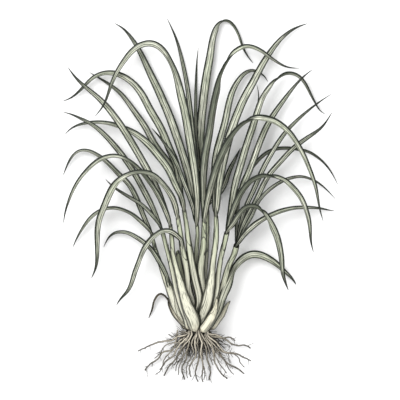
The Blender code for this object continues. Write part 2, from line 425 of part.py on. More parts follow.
def blade_profile(half_width, half_thick, rise, guides):
    """A shallow V with sharp margins, drawn across the leaf."""
    outline = bpy.data.curves.new("blade_profile", "CURVE")
    outline.dimensions = "2D"
    spline = outline.splines.new("POLY")
    corners = [(-half_width, rise), (0, -half_thick), (half_width, rise), (0, half_thick)]
    spline.points.add(len(corners) - 1)
    for point, (x, y) in zip(spline.points, corners):
        point.co = (x, y, 0, 1)
    spline.use_cyclic_u = True
    obj = bpy.data.objects.new("blade_profile", outline)
    guides.objects.link(obj)
    return obj


def build_blade(name, line, wide, angle, length, collection, guides, colour):
    full = wide.max()
    count = max(10, int(round(length * CM / LEAF_STEP)))
    pick = np.linspace(0, len(line) - 1, count)
    at = lambda values: np.interp(pick, np.arange(len(line)), values)
    points = np.column_stack([at(line[:, k]) for k in range(3)]) * CM + np.array(CLUMP_SHIFT)
    thick = LEAF_THICKNESS * np.clip(full / WIDEST_LEAF, 0.6, 1)
    profile = blade_profile(full * MM / 2, thick / 2, LEAF_FOLD * full * MM, guides)
    obj = poly_curve(name, points, np.maximum(at(wide) / full, 0.1), at(angle), collection)
    obj.data.bevel_mode = "OBJECT"
    obj.data.bevel_object = profile
    solid = solid_from_curve(name, obj, collection, colour)
    bpy.data.objects.remove(profile)
    split_alike(solid.data)
    return solid


def split_alike(mesh):
    """Splits the upper and under side of a twisted leaf along the same diagonals, so they can't cross."""
    bm = bmesh.new()
    bm.from_mesh(mesh)
    bmesh.ops.triangulate(bm, faces=bm.faces, quad_method="SHORT_EDGE")
    bm.to_mesh(mesh)
    bm.free()


def cut(target, cutters, operation="DIFFERENCE"):
    """Applies Booleans to the target's mesh."""
    for cutter in cutters:
        boolean = target.modifiers.new("trim", "BOOLEAN")
        boolean.object = cutter
        boolean.operation = operation
        boolean.solver = "EXACT"
    bpy.context.view_layer.update()
    mesh = bpy.data.meshes.new_from_object(
        target.evaluated_get(bpy.context.evaluated_depsgraph_get()))
    target.modifiers.clear()
    target.data = mesh
    bm = bmesh.new()
    bm.from_mesh(mesh)
    bmesh.ops.remove_doubles(bm, verts=bm.verts, dist=0.00001)
    bmesh.ops.triangulate(bm, faces=bm.faces)
    bm.to_mesh(mesh)
    bm.free()


def stalk_line(points):
    line, length = spline_through(points, 61)
    count = max(8, int(round(length * CM / STALK_STEP)))
    pick = np.linspace(0, 60, count)
    return np.column_stack([np.interp(pick, np.arange(61), line[:, k]) for k in range(4)])


def build_stalks(parts, guides):
    stalks, fat = {}, {}
    for name, points in STALKS.items():
        line = stalk_line(points)
        place = line[:, :3] * CM + np.array(CLUMP_SHIFT)
        colour = STALK_PALE
        stalks[name] = build_tube(name, place, line[:, 3] * MM, STALK_ROUNDING, parts,
                                  colour)
        fat[name] = build_tube(name + "_room", place, line[:, 3] * MM + TOUCH_GAP, STALK_ROUNDING,
                               guides, colour)
        fat[name].hide_render = True
        fat[name].display_type = "WIRE"
    order = list(STALKS)
    for k, name in enumerate(order):
        near = [fat[other] for other in order[k + 1:] if boxes_meet(stalks[name], fat[other])]
        if near:
            cut(stalks[name], near)
    return stalks, fat


def boxes_meet(a, b):
    lo_a, hi_a = mesh_box(a)
    lo_b, hi_b = mesh_box(b)
    return bool((lo_a < hi_b).all() and (lo_b < hi_a).all())


def mesh_box(obj):
    flat = np.empty(len(obj.data.vertices) * 3, np.float32)
    obj.data.vertices.foreach_get("co", flat)
    points = flat.reshape(-1, 3)
    return points.min(axis=0), points.max(axis=0)


def squashed_ball(name, centre, size, collection, colour, segments=16, rings=8):
    bpy.ops.mesh.primitive_uv_sphere_add(segments=segments, ring_count=rings, radius=1)
    obj = bpy.context.object
    for owner in list(obj.users_collection):
        owner.objects.unlink(obj)
    collection.objects.link(obj)
    obj.name = obj.data.name = name
    obj.data.transform(obj.matrix_world)
    flat = np.empty(len(obj.data.vertices) * 3, np.float32)
    obj.data.vertices.foreach_get("co", flat)
    points = flat.reshape(-1, 3) * np.array(size) * CM + np.array(centre) * CM + CLUMP_SHIFT
    obj.data.vertices.foreach_set("co", points.astype(np.float32).ravel())
    obj.data.materials.append(material(name, colour))
    obj.data.shade_smooth()
    return obj


def build_crown(parts, rooms):
    crown = squashed_ball("crown", CROWN_CENTRE, CROWN_SIZE, parts, CROWN_TAN)
    cut(crown, [room for room in rooms if boxes_meet(crown, room)])
    return crown


def build_roots(parts, guides):
    for name, roots in ROOTS.items():
        pad = squashed_ball(name, (PAD_X[name], PAD_Y, CROWN_CENTRE[2]), PAD_SIZE, parts, ROOT_TAN,
                            12, 6)
        tubes = []
        for k, (tip_z, route) in enumerate(roots):
            line, length = spline_through(route, max(6, len(route) + 1))
            t = np.linspace(0, 1, len(line))
            start_z = CROWN_CENTRE[2] + 0.5 * (tip_z - CROWN_CENTRE[2])
            z = start_z + (tip_z - start_z) * smooth_step(t) + 0.12
            points = np.column_stack([line, z]) * CM + np.array(CLUMP_SHIFT)
            radii = ROOT_RADIUS * MM * (1 - 0.72 * t)
            tubes.append(build_tube(f"{name}_tube_{k}", points, radii, 1, guides, ROOT_TAN))
        cut(pad, tubes, "UNION")
        for tube in tubes:
            bpy.data.objects.remove(tube)


def main():
    for obj in list(bpy.data.objects):
        bpy.data.objects.remove(obj)
    parts = bpy.data.collections.new("lemongrass_clump")
    guides = bpy.data.collections.new("cutters")
    bpy.context.scene.collection.children.link(parts)
    bpy.context.scene.collection.children.link(guides)

    stalks, rooms = build_stalks(parts, guides)
    laid = Laid()
    shoots = [leaf for leaf in LEAVES if leaf[0] in SHEATHED]
    for leaf in shoots + [leaf for leaf in LEAVES if leaf not in shoots]:
        if leaf[1] and "stalk_back" not in laid.owners():
            for name, points in STALKS.items():
                stalk, _ = spline_through(points, 81)
                laid.add(name, stalk[:, :2], stalk[:, 3] / 10, stalk[:, 2] + stalk[:, 3] / 10)
        line, wide, angle, length = lay_leaf(leaf, laid)
        colour = DRY_TAN if leaf[0] in WITHERED else LEAF_GREEN
        build_blade(leaf[0], line, wide, angle, length, parts, guides, colour)
    build_crown(parts, list(rooms.values()))
    build_roots(parts, guides)
    for room in rooms.values():
        bpy.data.objects.remove(room)


main()
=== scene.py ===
"""A whole lemongrass clump, picked and laid on its side on a pale table.

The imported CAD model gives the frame. Every solid of it is stood for by a finished surface: strap
leaves with a channelled fold, midrib and veins, stalks rolled from overlapping sheaths, husks, a
ringed crown and branching roots. Routes are in centimetres, as in the part's own source, and
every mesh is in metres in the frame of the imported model.
"""

import logging
from dataclasses import dataclass, field
from enum import Enum

import bpy
import numpy as np
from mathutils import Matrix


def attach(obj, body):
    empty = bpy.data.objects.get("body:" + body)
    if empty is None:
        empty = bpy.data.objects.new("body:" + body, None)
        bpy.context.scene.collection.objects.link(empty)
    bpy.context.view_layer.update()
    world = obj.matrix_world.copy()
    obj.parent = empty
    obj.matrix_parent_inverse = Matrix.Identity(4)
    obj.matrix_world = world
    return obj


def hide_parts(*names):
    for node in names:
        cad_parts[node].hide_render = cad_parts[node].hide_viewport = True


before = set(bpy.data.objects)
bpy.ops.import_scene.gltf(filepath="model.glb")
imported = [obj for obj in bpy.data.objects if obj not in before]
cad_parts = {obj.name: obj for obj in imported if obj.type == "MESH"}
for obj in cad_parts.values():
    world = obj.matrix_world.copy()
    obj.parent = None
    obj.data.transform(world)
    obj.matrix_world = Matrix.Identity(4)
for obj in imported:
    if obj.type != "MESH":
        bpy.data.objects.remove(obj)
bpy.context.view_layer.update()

LOG = logging.getLogger("clump")
CM = 0.01
MM = 0.001

CLUMP_SHIFT = (0.0, 0.0, -0.002)
LEAF_THICKNESS = 1.3 * MM
LEAF_FOLD = 0.07
LAYER_GAP = 0.9 * MM
DRAPE_RADIUS = 9.0 * CM
SMOOTHING = 0.9

Knots = list[tuple[float, float]]

# Stalks, from mouth to foot: x, y, z in cm and radius in mm.
STALKS = {
    "stalk_back": [(1.4, -1.1, 0.8, 4), (1.3, -8, 0.8, 5), (0.9, -14, 0.85, 6), (0.4, -19, 0.9, 7),
                   (-0.4, -22.6, 1.0, 7), (-0.8, -25.3, 1.6, 4)],
    "stalk_middle_back": [(-0.7, -4.5, 2.9, 3.5), (-0.5, -7.1, 2.8, 4), (-0.7, -10.1, 2.6, 4.5),
                          (-0.9, -13.5, 2.3, 5), (-0.7, -18, 1.7, 5), (0.6, -22, 1.3, 5),
                          (0.4, -25.3, 1.7, 4)],
    "stalk_back_left": [(-4.6, -10.1, 2.0, 4), (-4.0, -13.1, 1.9, 5), (-3.5, -15.7, 1.8, 5.5),
                        (-3.0, -18.1, 1.7, 6), (-2.3, -21.5, 1.7, 6.5), (-1.7, -25.3, 2.5, 4)],
    "stalk_far_left": [(-9.7, -6.5, 2.4, 4), (-9.2, -8.7, 2.4, 4), (-8.5, -11.1, 2.3, 4.5),
                       (-7.8, -13.1, 2.2, 5), (-6.9, -15.5, 2.1, 6.5), (-5.8, -18.3, 2.1, 8),
                       (-4.6, -21.3, 2.4, 10), (-3.6, -23.5, 2.5, 8.5), (-2.6, -25.3, 2.7, 4)],
    "stalk_inner_left": [(-7.6, -5.7, 3.9, 4), (-6.4, -10.5, 3.9, 4.5), (-5.5, -14.1, 3.9, 4.5),
                         (-4.8, -17.7, 3.9, 4.5), (-4.2, -19.9, 3.9, 5), (-3.2, -22.8, 3.8, 5),
                         (-2.2, -25.3, 3.7, 3.5)],
    "stalk_far_right": [(7.3, -8.7, 3.0, 5.5), (6.6, -11.3, 2.9, 5.5), (6.1, -12.3, 2.9, 5.5),
                        (5.3, -14.5, 2.8, 6), (4.6, -17.1, 2.7, 6), (4.0, -18.9, 2.6, 6),
                        (2.8, -22.3, 2.4, 6), (1.6, -25.3, 2.6, 4)],
    "stalk_inner_right": [(5.4, -6.1, 4.2, 5), (4.8, -8.9, 4.1, 5), (4.2, -11.3, 4.0, 5),
                          (3.7, -14.1, 3.9, 5), (3.5, -16.1, 3.9, 5), (3.3, -18.3, 3.9, 5),
                          (2.9, -19.7, 3.8, 5), (2.2, -22.5, 3.6, 5), (1.3, -25.3, 3.5, 3.5)],
    "stalk_centre": [(0.9, -3.9, 4.4, 4.5), (0.8, -7.1, 4.2, 5.5), (0.6, -10.1, 4.0, 6.5),
                     (0.3, -12.5, 3.7, 7.5), (0.2, -14.1, 3.4, 8), (0.4, -16.7, 3.0, 8),
                     (0.7, -18.9, 2.8, 7.5), (1.0, -22, 2.5, 6.5), (0.5, -25.3, 2.6, 4)],
    "stalk_middle": [(-3.2, -1.7, 3.4, 4), (-2.8, -4.3, 3.5, 4.5), (-2.4, -7.3, 3.7, 5.5),
                     (-2.0, -10.3, 3.9, 6.5), (-1.2, -14.7, 4.0, 7), (-0.7, -16.9, 4.0, 7),
                     (-0.3, -18.5, 3.9, 7), (-0.1, -20.3, 3.6, 7), (-0.3, -21.9, 3.2, 7),
                     (-0.5, -25.3, 2.7, 4)],
    "stalk_middle_left": [(-4.5, -3.1, 4.8, 4.5), (-3.8, -7.3, 4.5, 5), (-3.4, -10.1, 4.2, 6),
                          (-2.6, -14.1, 3.7, 6.5), (-2.4, -16.3, 3.4, 6.5), (-2.0, -18.7, 3.1, 6.5),
                          (-1.3, -20.8, 2.7, 7), (-1.1, -22.5, 2.7, 6.5), (-1.2, -25.3, 3.5, 4)],
    "stalk_front_right": [(3.1, -2.7, 5.4, 4), (3.2, -6.1, 5.4, 5), (3.1, -8.5, 5.3, 5.5),
                          (2.6, -12.1, 5.2, 5.5), (2.4, -14.1, 5.1, 6), (2.2, -16.1, 5.0, 8),
                          (1.8, -18.3, 4.9, 10), (1.4, -20.3, 4.7, 11), (0.8, -22.3, 4.2, 11),
                          (0.3, -24.1, 3.7, 8), (0.1, -25.4, 3.6, 4.5)],
    "stalk_front_left": [(-5.9, -4.7, 4.6, 4), (-5.6, -7.3, 4.6, 4.2), (-5.3, -10.9, 4.7, 4.5),
                         (-4.4, -14.5, 4.9, 5.5), (-3.6, -17.5, 5.1, 8.5), (-2.8, -20.1, 5.2, 11),
                         (-1.9, -22.5, 5.1, 13.5), (-1.2, -24.3, 4.9, 12), (-0.9, -25.6, 4.5, 6)],
    "husk_right": [(6.1, -20.3, 0.6, 1.2), (5.4, -21.1, 0.7, 3.2), (4.9, -22.1, 0.8, 4.6),
                   (4.2, -23.3, 0.85, 5.6), (3.2, -24.5, 0.9, 5.6), (2.1, -25.4, 0.95, 3.5)],
    "husk_front": [(3.35, -19.2, 5.2, 1.2), (3.1, -21.1, 5.3, 4.2), (2.55, -22.7, 5.4, 7.5),
                   (1.6, -24.3, 5.4, 9), (0.3, -25.6, 5.2, 6.5)],
}

# Leaves, from the lowest in the pile to the topmost. Each has the stalk mouth that it opens from,
# the height of its foot and tip in cm, the rise of its arch in cm, its full width in mm, and its
# roll at places along it: 0 shows the upper face, 180 the under face, +-90 an edge.
# Then its route in cm, from foot to tip.
LEAVES = [
    ("leaf_right_17", "stalk_back", 0.9, 0.4, 0, 11, [(0, 5), (1, -20)],
     [(1.5, -0.9), (3.0, 0.4), (4.8, 2.7), (5.7, 5.3), (6.9, 7.8), (8.2, 10.5)]),
    ("leaf_right_01", "stalk_back", 1.0, 0.5, 0, 19,
     [(0, 0), (.5, -20), (.72, -35), (.81, -120), (1, -140)],
     [(1.3, -0.9), (0.3, 4), (0, 10.9), (0.8, 19.9), (1.5, 25.1), (2.2, 29.0), (2.9, 32.8),
      (3.8, 34.8), (4.7, 35.6), (5.7, 35.4), (6.7, 34.4), (7.6, 32.7), (8.4, 30.5), (9.2, 29.0),
      (10.7, 27.1)]),
    ("leaf_left_04", "stalk_back", 1.1, 0.4, 0, 8, [(0, 0), (1, 25)],
     [(1.2, -0.8), (0.4, 3.5), (-0.5, 9.7), (-0.9, 16.1), (-0.9, 19.9), (-0.8, 25.1), (-0.6, 28.2),
      (-0.3, 30.8)]),
    ("leaf_left_03", "stalk_back", 1.4, 0.4, 0, 11, [(0, 0), (1, 20)],
     [(1.1, -0.8), (-0.1, 1.5), (-0.7, 4.7), (-1.0, 8.5), (-1.8, 16.1), (-2.6, 22.6), (-3.6, 27.7),
      (-4.8, 32.1), (-6.7, 36.4)]),
    ("leaf_left_01", "stalk_middle_back", 2.5, 0.5, 0, 18, [(0, 0), (.3, 15), (1, 25)],
     [(-0.8, -4.3), (-1.2, -1.2), (-1.8, 2.7), (-3.4, 8.5), (-6.0, 16.1), (-8.6, 22.1),
      (-10.6, 26.3), (-12.2, 29.7), (-13.8, 32.3), (-15.6, 34.3), (-17.3, 35.3)]),
    ("leaf_left_06", "stalk_middle", 2.9, 0.6, 0, 13.5, [(0, 0), (.4, 15), (1, 25)],
     [(-3.4, -1.5), (-4.4, 2.7), (-5.8, 6.5), (-8.9, 10.7), (-10.9, 14.3), (-13.4, 17.9),
      (-15.9, 21.1), (-18.1, 22.9), (-20.6, 24.5), (-22.3, 25.5)]),
    ("leaf_left_07", "stalk_middle", 3.2, 0.6, 1, 16.5, [(0, 0), (.4, 20), (.8, 35), (1, 20)],
     [(-3.3, -1.5), (-4.0, 2.2), (-5.0, 7.5), (-6.0, 9.7), (-7.6, 13.5), (-10.1, 17.9),
      (-12.4, 21.9), (-13.8, 23.3), (-15.9, 24.6), (-18.0, 25.1), (-20.1, 24.8), (-21.4, 24.1),
      (-22.9, 22.7), (-24.6, 21.1), (-25.9, 20.2), (-27.6, 19.6)]),
    ("leaf_right_03", "stalk_front_right", 4.9, 0.6, 0, 15.5, [(0, 0), (.5, -15), (1, -25)],
     [(2.9, -2.4), (2.9, 2.9), (3.3, 8.9), (4.2, 12.3), (5.2, 16.1), (6, 19.9), (6.7, 21.9),
      (7.7, 23.7), (8.7, 24.9), (9.6, 25.5), (10.6, 25.7), (12.0, 25.2), (13.0, 24.4),
      (13.6, 23.4)]),
    ("leaf_right_18", "stalk_inner_right", 3.0, 0.5, 0, 7, [(0, 0), (1, 15)],
     [(5.6, -5.8), (6.2, -1.1), (7.2, 2.9), (8.6, 7.9), (10, 12.9), (11.1, 17.5), (11.7, 20.4),
      (11.3, 23.2)]),
    ("leaf_right_05", "stalk_inner_right", 3.4, 0.6, 1, 16,
     [(0, 0), (.4, -20), (.64, -40), (.75, -125), (1, -145)],
     [(5.5, -5.8), (6.4, -0.1), (7.1, 3.3), (8.2, 7.1), (9.4, 11.0), (11.2, 16.3), (12.9, 20.7),
      (14, 22.3), (15, 23.5), (16.2, 24.4), (17.3, 24.9), (18.4, 24.9), (19.4, 24.5),
      (20.4, 23.6), (21.9, 21.1), (23.2, 18.8), (24, 17.7), (25.1, 17.0)]),
    ("leaf_left_08", "stalk_middle_back", 3.1, 2.0, 0, 10, [(0, 0), (1, 20)],
     [(-0.9, -4.2), (-1.2, -2.5), (-2.4, 1.3), (-3.2, 3.3), (-4.8, 7.4), (-6.8, 10.7),
      (-8.0, 12.3), (-9.7, 14.3)]),
    ("leaf_left_12", "stalk_middle", 3.6, 0.6, 1, 16, [(0, 0), (.4, 20), (.7, 45), (1, 40)],
     [(-3.2, -1.4), (-3.8, 0.7), (-4.6, 2.3), (-6.2, 5.7), (-8.2, 8.5), (-10.6, 11.2),
      (-13.2, 13.1), (-15.2, 14.0), (-17.6, 14.8), (-20.1, 15.2), (-22.6, 15.1), (-24.4, 14.7),
      (-26.0, 13.9), (-27.1, 12.8)]),
    ("leaf_left_13", "stalk_far_left", 2.3, 0.5, 0.5, 12.5, [(0, 0), (.35, 30), (.75, 45), (1, 20)],
     [(-9.8, -6.3), (-10.8, -4.3), (-12.6, -0.1), (-14.4, 3.1), (-16.6, 5.3), (-18.6, 7.3),
      (-20.8, 8.9), (-22.4, 9.6), (-24, 9.6), (-25.2, 8.8), (-26.2, 7.4), (-26.9, 5.9),
      (-27.4, 4.7)]),
    ("leaf_left_11", "stalk_inner_left", 3.7, 0.6, 0, 13, [(0, 0), (.4, 20), (1, 25)],
     [(-7.8, -5.4), (-9.2, -2.1), (-11.4, 2.1), (-13.7, 6.1), (-16.6, 10.1), (-18.8, 12.6),
      (-21.4, 14.8), (-24, 16.2), (-25.8, 17.0), (-27.6, 17.5)]),
    ("leaf_left_14", "stalk_inner_left", 4.0, 0.8, 0, 8, [(0, 0), (1, 25)],
     [(-7.7, -5.4), (-8.6, -4.2), (-10, -2.5), (-11.8, -0.9), (-13.8, 0.3), (-15.8, 1.5),
      (-17.6, 2.8), (-19, 4.2)]),
    ("leaf_left_15", "stalk_far_left", 2.7, 0.3, 0.8, 11.5,
     [(0, 20), (.3, 55), (.5, 50), (.65, 40), (1, 30)],
     [(-9.9, -6.3), (-11.2, -5.0), (-12.2, -4.2), (-13.2, -3.4), (-14.6, -2.6), (-16.4, -2.0),
      (-18.2, -1.9), (-20.1, -2.5), (-21.9, -3.9), (-23.2, -5.6), (-24.4, -7.5), (-25.5, -9.7)]),
    ("leaf_left_05", "stalk_front_left", 4.5, 0.6, 0, 15.5, [(0, 0), (.4, 15), (1, 20)],
     [(-6, -4.4), (-7.6, -0.2), (-10.4, 5.6), (-12.7, 9.7), (-14.8, 13.2), (-16.6, 15.9),
      (-18.8, 18.7), (-20.4, 20.3), (-22.9, 22.4), (-25, 24.5), (-26.5, 26.6)]),
    ("leaf_right_14", "stalk_far_right", 2.5, 0.5, 1, 11, [(0, -150), (1, -135)],
     [(7.3, -8.4), (7.4, -4.1), (7.8, -0.1), (8.4, 2.7), (9.4, 4.9), (10.8, 6.7), (12.6, 8.6),
      (13.8, 9.4), (15.1, 9.9), (17, 10.1), (18.8, 10.0), (20.4, 9.7), (21.8, 9.3), (23, 8.6),
      (24.3, 7.6), (25.6, 6.2), (26.6, 4.7), (27.6, 2.8)]),
    ("leaf_right_04", "stalk_front_right", 5.2, 0.6, 0, 17.5, [(0, 0), (.5, -10), (1, -25)],
     [(3.3, -2.4), (3.8, 2.9), (4.8, 8.3), (6, 12.9), (7.6, 17.3), (8.8, 20), (10.6, 23.3),
      (12.6, 27.0), (14.7, 30.2), (16, 31.8), (17.3, 33.0), (18.7, 34.0), (20.2, 34.7),
      (21.6, 35.2)]),
    ("leaf_right_06", "stalk_inner_right", 4.2, 0.7, 0, 13.5, [(0, 0), (.5, -15), (1, -20)],
     [(5.5, -5.8), (6.6, -2.3), (7.7, 0.7), (8.8, 3.3), (9.9, 5.9), (11.8, 11.0), (14.2, 16.1),
      (16.2, 19.0), (18.7, 22.3), (20.6, 24.4), (22.6, 26.0)]),
    ("leaf_right_07", "stalk_far_right", 2.9, 0.8, 0.5, 10.5, [(0, 0), (.5, -20), (1, -25)],
     [(7.4, -8.4), (8, -5.1), (9.4, -0.9), (10.7, 1.9), (12.6, 6.1), (14.6, 9.7), (16.4, 12.5),
      (18.7, 15.1), (21.6, 17.7), (25.1, 20.3), (26.5, 21.2)]),
    ("leaf_right_15", "stalk_far_right", 3.2, 0.8, 0.5, 12, [(0, 0), (.5, -25), (1, 20)],
     [(7.5, -8.4), (8.2, -6.1), (8.9, -4.3), (10.9, -0.7), (12.3, 2.2), (13.8, 4.8), (16.1, 7.5),
      (18.3, 9.9), (20.8, 11.9), (22.1, 12.8), (23.4, 13.7), (24.6, 14.8), (25.6, 16.2),
      (26.5, 17.6)]),
    ("leaf_right_16", "stalk_far_right", 3.5, 0.6, 0.5, 8, [(0, 0), (1, -30)],
     [(7.6, -8.4), (8.6, -6.1), (10, -3.7), (11.8, -0.1), (13.6, 1.8), (15.1, 2.9), (17.6, 4.1),
      (18.9, 4.4), (20.2, 4.5), (21.6, 4.2), (23.2, 3.5), (24.6, 2.5), (26, 1.2), (27.2, -0.1)]),
    ("leaf_right_11", "stalk_far_right", 3.8, 0.5, 0.8, 12, [(0, 0), (.4, -35), (1, -40)],
     [(7.7, -8.5), (8.6, -7.2), (10.1, -5.7), (12.2, -4.2), (14.2, -3.2), (16.2, -2.4),
      (18.2, -1.9), (20, -1.7), (22, -1.7), (24.4, -1.9), (26, -2.2), (27.1, -2.3)]),
    ("leaf_right_02", "stalk_centre", 4.1, 1.0, 1.5, 18,
     [(0, -165), (.52, -145), (.63, -100), (.72, -45), (1, -40)],
     [(0.9, -3.6), (0.7, 1.9), (1.2, 8.9), (2, 12.9), (2.8, 17.9), (3.8, 22.6), (4.5, 25.1),
      (5.4, 27.0), (6.4, 28.5), (7.6, 29.6), (8.9, 30.2), (10.1, 30.2), (11.5, 29.7),
      (12.8, 28.9), (13.9, 28.1), (15.3, 27.2), (16.7, 26.5), (18, 26.2), (20, 26.2)]),
    ("leaf_left_02", "stalk_middle_back", 3.6, 0.8, 2.5, 18,
     [(0, 0), (.42, 15), (.57, 50), (.68, 32), (1, 20)],
     [(-0.7, -4.2), (-0.6, 0.7), (-1.0, 4.7), (-2.2, 12.3), (-3.0, 16.9), (-4.0, 21.1),
      (-5.0, 24.6), (-6.4, 27.7), (-7.8, 29.7), (-9.4, 30.7), (-11.0, 30.7), (-13, 29.7),
      (-14.8, 27.7), (-16.6, 24.9), (-17.8, 22.1), (-19.1, 18.7), (-20.9, 16.4)]),
    ("leaf_left_16", "side of stalk_far_left", 3.0, 0.3, 0.5, 10.5, [(0, 0), (.4, 25), (1, 30)],
     [(-6.2, -16.0), (-6.8, -14.8), (-7.6, -13.2), (-8.6, -11.6), (-9.6, -10.1),
      (-10.8, -8.9), (-12.8, -7.5), (-14.4, -6.7), (-15.9, -6.5), (-17.2, -6.8), (-18.4, -7.9),
      (-19.3, -9.7)]),
    ("leaf_right_12", "", 1.3, 0.3, 1.2, 20, [(0, 0), (.25, -10), (.42, -50), (.6, -35), (1, -30)],
     [(2.0, -25.3), (2.9, -23.7), (3.8, -21.7), (4.5, -19.3), (5.6, -16.8), (6.4, -15.1),
      (7.6, -13.1), (8.9, -11.8), (10.2, -11.2), (11.7, -11.2), (13.3, -11.8), (15.3, -13.1),
      (16.9, -14.5), (18.4, -15.9), (19.3, -17.2)]),
    ("leaf_left_18", "", 0.8, 0.3, 0, 15, [(0, 0), (.35, 20), (.5, 80), (.7, 50), (1, 20)],
     [(-2.4, -25.3), (-3.4, -24.6), (-4.2, -23.7), (-4.9, -22.7), (-5.8, -21.1), (-6.4, -20.2),
      (-7.1, -19.3), (-7.9, -18.9), (-8.6, -19.5), (-9.1, -20.4), (-9.4, -21.7), (-9.8, -22.7),
      (-10.4, -24.0)]),
    ("leaf_left_10", "stalk_front_left", 4.8, 0.4, 2.0, 14,
     [(0, 0), (.2, 40), (.42, 58), (.6, 40), (1, 30)],
     [(-6, -4.3), (-7.9, -0.1), (-10.2, 3.5), (-11.8, 5.4), (-13.8, 7.2), (-15.4, 8.1),
      (-17.2, 8.4), (-18.8, 8.1), (-20.1, 7.5), (-21.4, 6.5), (-22.6, 5.3), (-23.8, 3.9),
      (-24.9, 2.2), (-26, -0.1), (-26.9, -2.7), (-27.3, -4.9)]),
    ("leaf_right_08", "stalk_centre", 4.7, 1.0, 3.5, 19,
     [(0, -165), (.28, -145), (.4, -110), (.48, -50), (1, -35)],
     [(1, -3.5), (1.4, -1.1), (2.1, 1.7), (2.8, 4.3), (4.4, 8.5), (5.4, 10.5), (6.4, 12.1),
      (7.6, 13.7), (8.9, 14.9), (10.7, 15.7), (12.6, 15.7), (14.4, 15.2), (16.1, 14.2),
      (17.6, 12.8), (18.9, 11.0), (20, 9.2), (21.1, 6.9), (22, 4.8), (22.7, 2.9), (23.4, -0.1),
      (23.9, -2.4), (24.6, -4.5)]),
    ("leaf_right_09", "stalk_inner_right", 4.7, 0.5, 2.5, 17,
     [(0, -160), (.36, -130), (.48, -55), (.58, -40), (1, -35)],
     [(5.6, -5.8), (6.4, -2.9), (7.1, -1.1), (8.0, 0.7), (9.0, 2.2), (10.2, 3.4), (11.8, 4.2),
      (13.8, 4.4), (15.4, 4.1), (16.8, 3.4), (18.5, 1.9), (19.9, 0.1), (20.8, -1.9),
      (21.4, -3.7), (21.8, -6.1), (22.1, -8.6), (22.7, -10.7)]),
    ("leaf_right_10", "stalk_inner_right", 5.0, 0.3, 1.8, 17,
     [(0, -160), (.26, -130), (.38, -55), (.5, -30), (1, -20)],
     [(5.7, -5.9), (6.8, -4.6), (7.6, -3.4), (8.4, -2.4), (9.3, -1.7), (10.2, -1.5),
      (11.1, -1.7), (12.2, -2.5), (13.2, -3.7), (14.2, -5.5), (15, -7.3), (15.7, -9.7),
      (16.1, -12), (16.4, -14.6), (17.0, -16.6), (17.7, -18.3)]),
    ("leaf_left_17", "side of stalk_middle_left", 4.9, 0.3, 1.0, 13,
     [(0, 0), (.15, 40), (.4, 30), (.7, 20), (1, 20)],
     [(-4.3, -7.3), (-5, -6.8), (-5.8, -6.4), (-6.6, -6.3), (-7.4, -6.4), (-8.3, -6.9),
      (-9.2, -7.6), (-10, -8.5), (-10.8, -9.6), (-11.4, -10.8), (-12.1, -12.6), (-12.9, -14.6),
      (-13.6, -16.7), (-14.5, -18.4), (-15.8, -19.8), (-16.8, -21.3)]),
    ("leaf_left_09", "stalk_middle_left", 4.9, 0.3, 2.5, 18,
     [(0, 0), (.18, 40), (.33, 58), (.5, 35), (1, 20)],
     [(-4.5, -2.8), (-5.3, -0.2), (-6.8, 2.1), (-8.3, 3.7), (-9.7, 4.7), (-11.3, 5.1),
      (-13.2, 4.9), (-14.7, 4.3), (-15.9, 3.5), (-17.2, 2.0), (-18.2, -0.1), (-19, -1.9),
      (-19.6, -3.4), (-20.1, -5.5), (-20.3, -8), (-20.4, -10.9), (-20.8, -13.7),
      (-21.8, -15.9)]),
]
WITHERED = {"leaf_left_18"}
# These keep a share of their width down to the foot, and it rides up over a stalk by so many cm.
SHEATHED = {"leaf_right_12": (0.65, 2.0), "leaf_left_18": (0.85, 2.7)}

